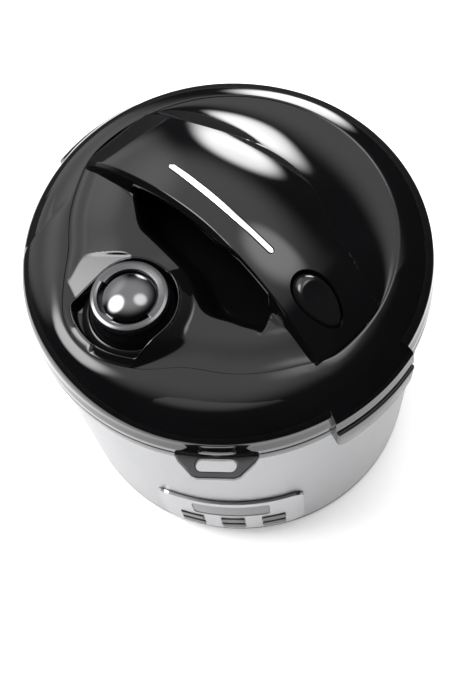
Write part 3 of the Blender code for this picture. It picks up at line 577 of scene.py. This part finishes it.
def bowl_surface(x, y):
    """Height of the cover inside its ring, without the valve's well."""
    s, n = plan(x, y)
    radius = np.hypot(x, y)
    inside = bowl_edge(np.arctan2(y, x)) - radius
    rim = RING_TOP - LIP
    right = handle_right(s)
    reach = np.sqrt(np.maximum((BOWL_R + 0.8 * MM) ** 2 - s * s, 0))
    edge = handle_surface(s, right) - 0.8 * MM
    share = np.clip((n - right) / np.maximum(reach - right, MM), 0, 1)
    crescent = rim + np.maximum(edge - rim, 0) * (1 - share) ** 2.2
    under_wing = handle_surface(s, n) - 3 * MM
    right_side = np.where(n > right - 0.6 * MM, crescent, np.minimum(crescent, under_wing))
    to_pocket = smooth((right - 4 * MM - n) / (14 * MM))
    right_side = right_side + (HIDDEN - right_side) * to_pocket
    from_well = well_distance(s, n)
    behind = smooth((12 * MM - s) / (50 * MM))
    front_mound = rim + 5.6 * MM * smooth(inside / (30 * MM))
    rear_mound = rim + SHOULDER * smooth(inside / (14 * MM)) + 7 * MM * smooth(inside / (50 * MM))
    mound = front_mound + (rear_mound - front_mound) * behind
    crease = -76.7 * MM + 0.76 * (s + 52 * MM) - 2 * np.minimum(s + 52 * MM, 0) ** 2
    above = 0.8 * (n - crease)
    facet = 43.2 * MM + 0.19 * (s + 52 * MM) + 0.22 * np.minimum(above, 0)
    facet = np.maximum(facet, rim + 0.2 * MM) + 12 * MM * smooth((s + 22 * MM) / (16 * MM))
    mound = soft_min(mound, facet + 0.95 * np.maximum(above, 0), 0.3 * MM)
    collar = WELL_RIM - np.maximum(from_well, 0) * 0.46 - 14 * MM * smooth((4 * MM - s) / (20 * MM))
    collar = collar - (WELL_RIM - rim) * smooth((20 * MM - inside) / (24 * MM))
    mound = soft_max(collar, mound, 0.7 * MM)
    bank = np.clip((n - shore(s)) / (19 * MM), 0, 1) ** 0.85
    front_end = 70 * MM + np.maximum(-22 * MM - n, 0) * 0.5
    pocket_end = np.where(s > 0, front_end, 65 * MM)
    under_end = smooth((np.abs(s) - pocket_end + 1.6 * MM) / (3.2 * MM))
    into_pocket = smooth(bank) * (1 - under_end)
    under_handle = smooth((n - handle_left(s) - 0.6 * MM) / (3 * MM))
    land = mound + (HIDDEN - mound) * under_handle
    left_side = land + (POCKET_FLOOR - land) * into_pocket
    return np.where(n > right - 20 * MM, right_side, left_side)


def well_height(x, y):
    """The same with the well sunk in, for the cover's underside."""
    s, n = plan(x, y)
    height = bowl_surface(x, y)
    sunk = smooth(-(well_distance(s, n) - 4 * MM) / (4 * MM)) * (np.hypot(x, y) < BOWL_R + 2 * MM)
    return height + (WELL_FLOOR - height) * sunk


def ring_fall(angles, share):
    """How steeply the ring leaves its inner edge, as a starting angle of its quarter circle.

    Twice round the lid a fold sweeps from the bowl's edge to the skirt: in front of it the ring falls
    away at once, behind it stays flat for longer.
    """
    away = angles - math.atan2(VALVE.y, VALVE.x)
    flat = math.radians(4) + math.radians(9) * (1 - np.cos(away))
    opposite = np.arccos(np.clip(-np.cos(away), -1, 1))
    flat = flat + math.radians(14) * smooth((math.radians(62) - opposite) / math.radians(30))
    in_front = np.zeros_like(angles)
    for lug in LUGS:
        fold = lug + math.radians(24) + math.radians(28) * math.sqrt(share)
        before = wrapped(fold - angles)
        ramp = np.clip(1.7 - before / math.radians(28), 0, 1)
        in_front = np.maximum(in_front, np.where(before > 0, ramp, 0))
    return flat + math.radians(11) * in_front


def make_lid_cover():
    """The cover: bowl, lip, ring, skirt and lugs in rings from the middle outward, and back inside."""
    angles = ring_angles(480, LUGS, LUG_HALF, np.radians([-0.5, -0.1, 0.1, 0.5]))
    lugs = arc_mask(angles, LUGS, LUG_HALF, math.radians(0.2))
    cos, sin = np.cos(angles), np.sin(angles)
    edge = bowl_edge(angles)
    rows = []

    def add_ring(radius, height):
        rows.append(circle(radius, height, angles))

    radii = np.concatenate([np.linspace(0.6, 118, 118), np.linspace(118.8, 122, 6),
                            [122.4, 122.7, 122.95, 123.15, 123.3, 123.4]]) * MM
    for radius in radii:
        local = radius * edge / BOWL_R
        add_ring(local, bowl_surface(local * cos, local * sin))
    for out, drop in ((0.05, 0.55), (0.17, 0.35), (0.36, 0.18), (0.6, 0.07), (0.85, 0.01)):
        add_ring(edge + out * MM, RING_TOP - drop * MM)
    start = edge + 1.1 * MM
    for share in np.linspace(0, 1, 42):
        first = ring_fall(angles, share)
        turn = first + share * (math.pi / 2 - first)
        gone = (np.sin(turn) - np.sin(first)) / (1 - np.sin(first))
        flare = lugs * LUG_OUT * smooth((share - 0.62) / 0.38)
        add_ring(start + (SKIRT_TOP_R - start) * gone + flare,
                 SKIRT_TOP + (RING_TOP - SKIRT_TOP) * np.cos(turn) / np.cos(first))
    lowest = 0.35 * MM
    for down, out in ((0.25, 0.6), (0.6, 1.5), (0.93, 2.3), (1.0, 1.6)):
        add_ring(SKIRT_TOP_R + out * MM + lugs * LUG_OUT * (1 - 0.1 * down),
                 SKIRT_TOP + (lowest - SKIRT_TOP) * down)
    inner = RIM_R - 4.5 * MM
    add_ring(inner, lowest)
    for share in np.linspace(1, 0, 12):
        turn = share * math.pi / 2
        add_ring(BOWL_R + 2.2 * MM + (inner - BOWL_R - 2.2 * MM) * math.sin(turn),
                 SKIRT_TOP - 2 * MM + 24 * MM * math.cos(turn))
    for radius in np.linspace(122, 1, 50) * MM:
        add_ring(radius, well_height(radius * cos, radius * sin) - COVER_WALL)
    points = np.array(rows)
    points[:, :, 2] += LID_Z
    bm = tube(points, flip=True)
    sink(bm, bm.verts[:len(angles) * (len(radii) - 1)], well_outline(),
         lambda x, y: LID_Z + float(bowl_surface(x, y)), WELL_PROFILE, LID_Z + WELL_FLOOR)
    make_object("lid_cover_looks", bm, GLOSS, "lid", ["lid_cover"], sharp=50)


def standing_share(s):
    """1 where the handle stands on the cover, and 0 along its free bar."""
    return smooth((np.abs(s) - HANDLE_GRIP) / (6 * MM))


def handle_thickness(s, n):
    """Thick where it stands on the cover, a bar over the pocket, thin along its far edge."""
    standing = handle_surface(s, n) - 37.2 * MM
    bar, thin = 9 * MM, 2.2 * MM
    body = bar + (standing - bar) * standing_share(s)
    edge = smooth((handle_right(s) - 10 * MM - n) / (12 * MM))
    return thin + (body - thin) * edge


def handle_reach(share, side):
    """How far along the handle one line of it runs before it meets the ring."""
    low, high = 60 * MM, HANDLE_HALF + 2 * MM
    for _ in range(30):
        middle = (low + high) / 2
        left, right = float(handle_left(side * middle)), float(handle_right(side * middle))
        if math.hypot(middle, left + (right - left) * share) < 122.6 * MM + 1.2 * MM * share:
            low = middle
        else:
            high = middle
    return side * low


def button_spot(inset, share, angle):
    """A point of the button's egg-shaped plan, which is rounder towards the lid's middle."""
    half_width = (BUTTON_WIDE - inset) * (1 - 0.14 * math.cos(angle))
    return place(BUTTON_S + (BUTTON_LONG - inset) * (share * math.cos(angle)),
                 BUTTON_N + half_width * (share * math.sin(angle)))


def button_outline():
    """The rim of the button's recess, counterclockwise from above."""
    spots = [button_spot(0, 1, 2 * math.pi * step / 64) for step in range(64)]
    return [(spot.x, spot.y) for spot in spots]


def strip_outline():
    """The rim of the strip's groove, a little wider than the strip, counterclockwise from above."""
    half, width = STRIP_HALF - STRIP_WIDTH, STRIP_WIDTH + 0.5 * MM
    points = []
    for side in (1, -1):
        for angle in np.linspace(-math.pi / 2, math.pi / 2, 9):
            turn = angle if side > 0 else angle + math.pi
            points.append((side * half + width * math.cos(turn), STRIP_N + width * math.sin(turn)))
        for share in np.linspace(0, 1, 60)[1:-1]:
            points.append((side * half * (1 - 2 * share), STRIP_N + side * width))
    return [(spot.x, spot.y) for spot in (place(s, n) for s, n in points)]


def refined(low, high, coarse, zones):
    """Steps of a coarse size from low to high, finer inside each zone (start, end, size)."""
    values = [low]
    while values[-1] < high - 1e-6:
        size = coarse
        for start, end, fine in zones:
            if start - fine <= values[-1] < end:
                size = min(size, fine)
            elif values[-1] < start < values[-1] + size:
                size = start - values[-1]
        values.append(min(high, values[-1] + size))
    return np.array(values)


def handle_height(x, y):
    """Height of the handle's surface over the floor."""
    s, n = plan(x, y)
    return LID_Z + float(handle_surface(s, n))


def make_lid_handle():
    """The handle: lines along it from ring to ring, with close columns over the grip edge."""
    offsets = np.array([0, 0.2, 0.5, 0.8, 1.4, 2.2, 2.8, 3.1, 3.4, 3.8]) * MM
    shares = refined(0, 1, 0.02, [(0.0, 0.5, 0.009), (0.985, 1, 0.004)])
    lines = refined(-1, 1, 0.012, [(-1, -0.985, 0.004), (-0.45, 0.45, 0.008), (0.55, 1, 0.0055)])
    first, last = offsets[:-1], offsets[-1]
    width = 75 * MM
    spread = np.concatenate([first / width, last / width + (1 - last / width) * shares])
    front = np.array([handle_reach(share, 1) for share in spread])
    back = np.array([handle_reach(share, -1) for share in spread])
    along = lines[:, None]
    s = np.where(along > 0, along * front[None, :], -along * back[None, :])
    left, right = handle_left(s), handle_right(s)
    near = left + np.concatenate([first, 0 * shares])[None, :]
    far = left + last + (right - left - last) * np.concatenate([0 * first, shares])[None, :]
    n = np.where(np.arange(len(spread))[None, :] < len(first), near, far)
    x = s * ALONG.x + n * ACROSS.x
    y = s * ALONG.y + n * ACROSS.y
    to_end = np.where(along > 0, front[None, :] - s, s - back[None, :])
    slope = chamfer(s)
    corner = slope - (n - left)
    drop = CHAMFER_FALL * np.where(corner > -0.3 * MM, np.maximum(corner, 0) + 0.05 * MM, 0)
    drop = drop + arc_ease(n - left, 0.5 * MM) + arc_ease(right - n, 0.7 * MM) + arc_ease(to_end, 0.7 * MM)
    top = np.stack([x, y, LID_Z + handle_surface(s, n) - drop], axis=-1)
    thick = handle_thickness(s, n)
    foot = standing_share(s)
    splay = 3 * MM * foot * np.clip(1 - (n - left) / (10 * MM), 0, 1)
    lift = arc_ease(n - left, 1.2 * MM) * (1 - foot)
    under_x, under_y = x - splay * ACROSS.x, y - splay * ACROSS.y
    under = np.stack([under_x, under_y, LID_Z + handle_surface(s, n) - thick + lift], axis=-1)
    rows, columns = s.shape
    bm = bmesh.new()
    upper = [[bm.verts.new(spot) for spot in line] for line in top]
    lower = [[bm.verts.new(spot) for spot in line] for line in under]
    for i in range(rows - 1):
        for j in range(columns - 1):
            for layer in (upper, lower):
                bm.faces.new([layer[i][j], layer[i + 1][j], layer[i + 1][j + 1], layer[i][j + 1]])

    def sides(layer):
        return [line[0] for line in layer], [line[-1] for line in layer], layer[0], layer[-1]

    for above, below in zip(sides(upper), sides(lower)):
        for k in range(len(above) - 1):
            bm.faces.new([above[k], above[k + 1], below[k + 1], below[k]])
    flat = [vert for row in upper for vert in row]
    sink(bm, flat, button_outline(), handle_height, BUTTON_PROFILE, LID_Z + BUTTON_FLOOR)
    sink(bm, flat, strip_outline(), handle_height, GROOVE_PROFILE, LID_Z + GROOVE_FLOOR)
    make_object("lid_handle_looks", bm, GLOSS, "lid", ["lid_handle"], sharp=50)


def make_strip():
    """The bright strip set into the handle's crown, with round ends."""
    section = [(-1, -0.8), (-1, 0), (-0.93, 0.2), (-0.8, 0.3), (-0.4, 0.34), (0, 0.35), (0.4, 0.34),
               (0.8, 0.3), (0.93, 0.2), (1, 0), (1, -0.8)]
    straight = STRIP_HALF - STRIP_WIDTH
    ends = straight + STRIP_WIDTH * np.sin(np.linspace(0.1, 0.99, 10) * math.pi / 2)
    stations = np.concatenate([-ends[::-1], np.linspace(-straight, straight, 90), ends])
    rows = []
    for s in stations:
        past = max(0.0, abs(s) - straight)
        half = math.sqrt(STRIP_WIDTH ** 2 - past ** 2)
        row = []
        for across, rise in section:
            spot = place(s, STRIP_N + across * half)
            row.append((spot.x, spot.y, handle_height(spot.x, spot.y) + rise * MM))
        rows.append(row)
    make_object("handle_strip_looks", tube(rows), CHROME, "lid", ["handle_strip"])


def button_height(share, angle):
    """Height of the button above the handle's surface, at a share of the way out to its rim."""
    wall = 0.12 + 0.38 * ((1 - math.cos(angle)) / 2) ** 1.4
    edge = 1 - wall
    low, dish = -3.2 * MM, 2.6 * MM
    if share > edge:
        ridge = (1.5 - 2.3 * edge * math.cos(angle)) * MM
        return low + (ridge - low) * math.sin((1 - share) / wall * math.pi / 2) ** 0.9
    return (1.5 - 2.3 * share * math.cos(angle)) * MM - dish * (1 - (share / edge) ** 2)


def make_button():
    """The release button: a shell with a ridge towards the lid's middle and a hollow for the thumb."""
    rings, count, thickness = 26, 72, 2.2 * MM
    lowest = LID_Z + 40.9 * MM

    def button_ring(share, below):
        row = []
        for step in range(count):
            angle = 2 * math.pi * step / count
            spot = button_spot(1.2 * MM, share, angle)
            height = button_height(share, angle) - float(arc_ease((1 - share) * BUTTON_WIDE, 1.0 * MM))
            row.append((spot.x, spot.y, handle_height(spot.x, spot.y) + height - below))
        return row

    top = [button_ring(ring / rings, 0.0) for ring in range(1, rings + 1)]
    rim = [(x, y, max(lowest, min(z - 1.2 * MM, LID_Z + 52 * MM))) for x, y, z in top[-1]]
    under = [button_ring(0.9 * ring / 12, thickness) for ring in range(12, 0, -1)]
    under = [[(x, y, max(z, lowest)) for x, y, z in row] for row in under]
    make_object("release_button_looks", tube(top + [rim] + under), BUTTON_LOOK, "button",
                ["release_button"])
    spot = place(BUTTON_S, BUTTON_N)
    turned("button_stem_looks", [(0, 280), (3, 280), (3, 251.5, 0.5), (0, 251.5)], SATIN, "button",
           ["release_button"], at=(spot.x, spot.y), segments=32)


def make_spring(node, body, turns, wire):
    """A coil spring between the ends of its CAD node."""
    low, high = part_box(node)
    middle_x, middle_y = (low[0] + high[0]) / 2, (low[1] + high[1]) / 2
    height, radius = high[2] - low[2], (high[0] - low[0]) / 2 - wire
    steps, sides = turns * 28, 10
    rows = []
    for step in range(steps + 1):
        turn = 2 * math.pi * turns * step / steps
        climb = low[2] + wire + (height - 2 * wire) * step / steps
        row = []
        for side in range(sides):
            around = 2 * math.pi * side / sides
            out = radius + wire * math.cos(around)
            row.append((middle_x + out * math.cos(turn), middle_y + out * math.sin(turn),
                        climb + wire * math.sin(around)))
        rows.append(row)
    spring = make_object(node + "_looks", tube(rows), PLAIN_STEEL, body, [node], sharp=60)
    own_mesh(spring)


# --- Valve ---
SLOT_CENTRES = [math.radians(angle) for angle in (-172, -82)]
SLOT_HALF = math.radians(36)
SLOT_WIDTH = 1.9 * MM


def make_knob():
    """The valve's knob: a bell with a ring on top, and slots round the cap in two places."""
    corners = [(0, 268.3), (7.6, 268.3), (7.6, 255), (11, 255, 0.5), (14, 267.5, 1), (24, 266.5, 2),
               (28.2, 261, 2), (29.6, 253.5, 0.4), (31.8, 253.5, 0.6), (31.8, 257, 3), (30.4, 265, 6),
               (28.3, 271.6, 3), (28, 277, 1.4), (27.2, 279.4, 1.2), (24.6, 280.1, 2), (20.7, 279.6, 0.5),
               (19.8, 279.1, 0.3), (19.6, 278.6, 0.1), (19.6, 272), (0, 272)]
    path = np.array(rounded_profile(corners)[0][1:-1])
    angles = ring_angles(220, SLOT_CENTRES, SLOT_HALF, (-0.025, -0.008, 0.008, 0.025))
    slots = arc_mask(angles, SLOT_CENTRES, SLOT_HALF, 0.016)
    rows = []
    for radius, height in path:
        local = radius + SLOT_WIDTH * slots * (19 * MM < radius < 20.9 * MM and height > 271.5 * MM)
        rows.append(circle(local, height, angles, VALVE))
    knob = make_object("valve_knob_looks", tube(rows), KNOB_GLOSS, "steam_valve", ["valve_knob"])
    mesh = knob.data
    mesh.materials.append(KNOB_RING)
    for polygon in mesh.polygons:
        out = math.hypot(polygon.center.x - VALVE.x, polygon.center.y - VALVE.y)
        if out > 19.4 * MM and polygon.center.z > 278.7 * MM:
            polygon.material_index = 1


def make_cap():
    """The polished cap, a shallow dome cut from a ball; sizes in mm."""
    steps, ball, spread, top = 16, 38, math.radians(30.3), 283.1
    dome = [(ball * math.sin(spread * i / steps), top - ball * (1 - math.cos(spread * i / steps)))
            for i in range(steps + 1)]
    corners = dome[:-1] + [(*dome[-1], 0.3), (19.2, 272.3), (0, 272.3)]
    turned("valve_cap_looks", corners, CAP_METAL, "steam_valve", ["valve_cap"],
           at=(VALVE.x, VALVE.y), segments=160)


def make_valve_skirt():
    """A fixed cone round the knob that fills the outer side of its well."""
    floor = (LID_Z + WELL_FLOOR) / MM
    corners = [(32.3, floor + 0.1), (32.3, floor + 8.2, 0.2), (34, floor + 7.4, 1.5), (37.4, floor + 3.6, 3),
               (38.8, floor + 0.1)]
    turned("valve_skirt_looks", corners, KNOB_GLOSS, "lid", ["lid_cover"],
           at=(VALVE.x, VALVE.y), segments=180)


# --- Base ---
def make_lug(name, angle):
    """A grip lug bent round the base, with rounded edges and rounded lower corners; sizes in mm."""
    half_width, low, high, inner, outer, corner, edge = 38.5, 198, 224.2, 152.7, 161.3, 9.0, 1.6
    middle = np.linspace(-half_width + 10, half_width - 10, 30)
    corners = half_width - 10 + 10 * np.sin(np.linspace(0.08, 1, 16) * math.pi / 2)
    rows = []
    for x in np.concatenate([-corners[::-1], middle, corners]):
        to_end = half_width - abs(x)
        bottom = low + float(arc_ease(to_end, corner))
        outside = outer - float(arc_ease(to_end, edge))
        section = [(inner, bottom), (inner, high), (outside - edge, high)]
        for step in np.linspace(0, math.pi / 2, 6):
            section.append((outside - edge + edge * math.sin(step), high - edge + edge * math.cos(step)))
        for step in np.linspace(0, math.pi / 2, 6):
            section.append((outside - edge + edge * math.cos(step), bottom + edge - edge * math.sin(step)))
        turn = angle + x / outer
        rows.append([(r * MM * math.cos(turn), r * MM * math.sin(turn), z * MM) for r, z in section])
    make_object(name, tube(rows), RIM, "base", ["base_rim"])


def make_rim():
    """The base's rim ring, its two grip lugs and the slotted tab at the front."""
    corners = [(155, 224.4, 0.6), (155, 214.5, 0.8), (151, 214.5), (151, 206), (149.2, 206), (149.2, 216.5),
               (127, 216.5), (127, 200), (124.8, 200), (124.8, 221.5, 1), (146, 221.5, 1), (149, 224.4, 0.5)]
    turned("base_rim_looks", corners, RIM, "base", ["base_rim"])
    for index, angle in enumerate(LUGS):
        make_lug(f"base_lug_looks_{index + 1}", angle)
    right_side = [(13, -169.5), (17, -168), (27, -157.5), (30, -152.5)]
    outline = [(-x * MM, y * MM) for x, y in right_side[::-1]] + [(x * MM, y * MM) for x, y in right_side]
    tab = prism("front_tab_looks", outline, 217.8 * MM, 223.6 * MM, Matrix.Identity(4), RIM, "base",
                ["base_rim"])
    slot_outline = [(x, y - 160.2 * MM) for x, y in rounded_outline(14.2 * MM, 4.5 * MM, 4.4 * MM)]
    cut(tab, slot_outline, 205 * MM, 235 * MM, Matrix.Identity(4))
    round_edges(tab, 1.1 * MM, 4)


def make_shell():
    """The shell, with a window behind the control panel and one at the back for the power inlet."""
    (_, _, low), (outer, _, high) = np.array(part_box("outer_shell")) / MM
    corners = [(outer, high), (outer, low, 0.4), (outer - 1, low), (outer - 1, high)]
    shell = turned("outer_shell_looks", corners, SHELL, "base", ["outer_shell"], segments=360)
    front = Matrix.Rotation(math.pi / 2, 4, "X")
    for half_width, half_height, middle, start in ((48, 33.5, 61.5, 130), (20.6, 14.6, 40, -160)):
        window = [(x * half_width * MM, middle * MM + z * half_height * MM)
                  for x, z in ((-1, -1), (1, -1), (1, 1), (-1, 1))]
        cut(shell, window, start * MM, (start + 30) * MM, front)


def make_bottom():
    """The bottom cover and its four feet."""
    cover = [(0, 9), (147.5, 9), (147.5, 24), (150.8, 24), (150.8, 13.7), (152, 13.7, 0.3), (152, 8.5, 1.8),
             (149.5, 6, 1.2), (0, 6)]
    turned("bottom_cover_looks", cover, SATIN, "base", ["bottom_cover"])
    foot = [(0, 5.7), (9, 5.7), (10, 4.5, 0.5), (10, 1, 0.6), (9, 0, 0.6), (8, 0), (7.4, 0.6), (0, 0.6)]
    for index in range(1, 5):
        turned(f"foot_looks_{index}", foot, RUBBER, "base", [f"foot_{index}"],
               at=middle(f"foot_{index}"), segments=48)


def make_pot():
    """The inner pot: a rounded bottom, a straight wall and a flat rim."""
    corners = [(0, 45.7), (96, 45.7, 6), (104, 48.4, 5), (108.6, 53, 5), (110, 60, 8), (110, 210, 1.2),
               (117, 210, 0.6), (117, 208.5, 0.4), (111.5, 208.5, 0.5), (111.5, 59.7, 8), (109.8, 52.2, 5),
               (105, 47.2, 5), (97, 44.2, 6), (0, 44.2)]
    turned("inner_pot_looks", corners, POLISHED, "base", ["inner_pot"])


# --- CAD nodes that show as they are ---
# Material of each, and the width of its rounded edges in mm.
CAD_LOOKS = {
    "lock_ring": (PLAIN_STEEL, 0.4), "heat_shield": (ALUMINIUM, 0.5), "heating_plate": (ALUMINIUM, 0.5),
    "temperature_sensor": (ALUMINIUM, 0.4), "control_panel": (PANEL, 0),
    "display_window": (SCREEN, 0.3), "control_board": (BOARD, 0.15), "power_relay": (SATIN, 0.4),
    "transformer": (RIM, 0.4), "power_inlet": (SATIN, 0.5), "cup_bracket": (SATIN, 0.4),
    "condensate_cup": (CLEAR, 0.4), "sealing_ring": (SILICONE, 0.5), "seal_support_ring": (PLAIN_STEEL, 0),
    "lid_plate": (POLISHED, 0.3), "float_valve": (POLISHED, 0.3), "float_gasket": (SILICONE, 0.2),
    "valve_stem": (POLISHED, 0.4), "valve_nut": (BRASS, 0.4), "filter_cap": (POLISHED, 0.3),
    "lock_lever": (PLAIN_STEEL, 0.4), "lever_pin": (POLISHED, 0.2),
    "lever_bracket": (SATIN, 0.4), "lock_pin": (POLISHED, 0.3),
}
for number in range(1, 5):
    CAD_LOOKS[f"bottom_screw_{number}"] = (PLAIN_STEEL, 0.2)
    CAD_LOOKS[f"lid_screw_{number}"] = (POLISHED, 0.2)
for number in range(1, 7):
    CAD_LOOKS[f"key_{number}"] = (KEY_LOOK, 0)
for number in range(1, 4):
    CAD_LOOKS[f"inlet_pin_{number}"] = (BRASS, 0)


def dress_cad_nodes():
    for node, (look, edge) in CAD_LOOKS.items():
        obj = frame["nodes"][node]
        obj.data.materials.clear()
        obj.data.materials.append(look)
        if edge:
            round_edges(obj, edge * MM, 2, 50, harden=False)


# --- Set, light and camera ---
# Soft sources of the studio: azimuth from the back towards the right, elevation, angle inside which the
# source is full, angle outside which it's gone, and strength.
SOURCES = [(-18, 64, 14, 52, 1.25), (-80, 54, 8, 21, 10.0), (46, 70, 5, 17, 3.2), (-48, 18, 12, 36, 1.0),
           (8, 9, 3, 15, 12.0)]
DARK_ROOM = 0.014
FLOOR_GLOW = 0.3
FILL_POWER = 70


def flat_piece(name, inner, outer, height, look, shift=0.0):
    """A flat ring or disc on the floor's plane; its hole may be shifted to the left."""
    steps = 96
    turns = [2 * math.pi * k / steps for k in range(steps)]
    bm = bmesh.new()
    loops = []
    for radius, middle in ((inner, -shift), (outer, 0.0)):
        loops.append([bm.verts.new((middle + radius * math.cos(turn), radius * math.sin(turn), height))
                      for turn in turns])
    for k in range(steps):
        following = (k + 1) % steps
        bm.faces.new([loops[0][k], loops[1][k], loops[1][following], loops[0][following]])
    if inner < 0.01:
        bm.faces.new(loops[0])
    obj = make_object(name, bm, look)
    return obj


def make_floor():
    """A pale floor, and a black flag round the cooker that only its reflections see."""
    look, _, shader = node_material("floor_white", (0.92, 0.92, 0.92), 0.5)
    shader.inputs["Emission Color"].default_value = (1, 1, 1, 1)
    shader.inputs["Emission Strength"].default_value = FLOOR_GLOW
    flat_piece("floor", 0.005, 8.0, 0.0, look)
    dark = node_material("flag_black", (0.004, 0.004, 0.004), 0.9)[0]
    flag = flat_piece("reflected_flag", 0.46, 7.5, 0.0006, dark, shift=0.14)
    flag.visible_camera = False
    flag.visible_diffuse = False
    flag.visible_shadow = False


def make_world():
    """A dark room with soft bright patches, and plain white where the camera looks past the floor."""
    world = bpy.data.worlds.new("studio")
    world.use_nodes = True
    tree = world.node_tree
    background = tree.nodes["Background"]
    background.inputs["Color"].default_value = (1, 1, 1, 1)
    coordinates = add_node(tree, "TexCoord")
    total = add_node(tree, "Value").outputs["Value"]
    total.default_value = DARK_ROOM
    for azimuth, elevation, full, gone, strength in SOURCES:
        azimuth, elevation = math.radians(azimuth), math.radians(elevation)
        towards = add_node(tree, "VectorMath")
        towards.operation = "DOT_PRODUCT"
        towards.inputs[1].default_value = (math.sin(azimuth) * math.cos(elevation),
                                           math.cos(azimuth) * math.cos(elevation), math.sin(elevation))
        spread = add_node(tree, "MapRange", From_Min=math.cos(math.radians(gone)),
                          From_Max=math.cos(math.radians(full)), To_Max=strength)
        spread.interpolation_type = "SMOOTHERSTEP"
        adder = add_node(tree, "Math")
        tree.links.new(coordinates.outputs["Generated"], towards.inputs[0])
        tree.links.new(towards.outputs["Value"], spread.inputs["Value"])
        tree.links.new(total, adder.inputs[0])
        tree.links.new(spread.outputs["Result"], adder.inputs[1])
        total = adder.outputs["Value"]
    seen = add_node(tree, "Mix", B=1.0)
    tree.links.new(add_node(tree, "LightPath").outputs["Is Camera Ray"], seen.inputs["Factor"])
    tree.links.new(total, seen.inputs["A"])
    tree.links.new(seen.outputs["Result"], background.inputs["Strength"])
    bpy.context.scene.world = world


def make_lights():
    """The world, and a broad lamp straight above that lights the floor but shows in no reflection."""
    make_world()
    light = bpy.data.lights.new("floor_fill", "AREA")
    light.shape = "RECTANGLE"
    light.size = light.size_y = 4
    light.energy = FILL_POWER
    lamp = add_object("floor_fill", light)
    lamp.location = (0, 0, 3)
    lamp.visible_glossy = False
    lamp.visible_camera = False


def make_camera():
    """The camera looks down at the lid from the front and a little from the right."""
    azimuth, elevation = math.radians(10.0), math.radians(59.944)
    distance, yaw, pitch, roll = 0.7162, math.radians(0.0996), math.radians(-4.657), math.radians(-8.4296)
    back = Vector((math.sin(azimuth) * math.cos(elevation), -math.cos(azimuth) * math.cos(elevation),
                   math.sin(elevation)))
    spot = back * distance + Vector((0, 0, LID_Z))
    right = Vector((math.cos(azimuth), math.sin(azimuth), 0))
    up = back.cross(right)
    facing = Matrix((right, up, back)).transposed()
    aim = Matrix.Rotation(roll, 3, "Z") @ Matrix.Rotation(pitch, 3, "X") @ Matrix.Rotation(yaw, 3, "Y")
    lens = bpy.data.cameras.new("photo_camera")
    lens.lens = 50.34
    lens.sensor_width = 36
    camera = add_object("photo_camera", lens)
    camera.matrix_world = Matrix.Translation(spot) @ (facing @ aim).to_4x4()
    bpy.context.scene.camera = camera


make_lid_cover()
make_lid_handle()
make_strip()
make_button()
make_spring("button_spring", "lid", 3, 0.6 * MM)
make_spring("sensor_spring", "base", 4, 0.7 * MM)
make_knob()
make_cap()
make_valve_skirt()
make_rim()
make_shell()
make_bottom()
make_pot()
dress_cad_nodes()
make_floor()
make_lights()
make_camera()
bpy.context.scene.view_settings.view_transform = "Standard"
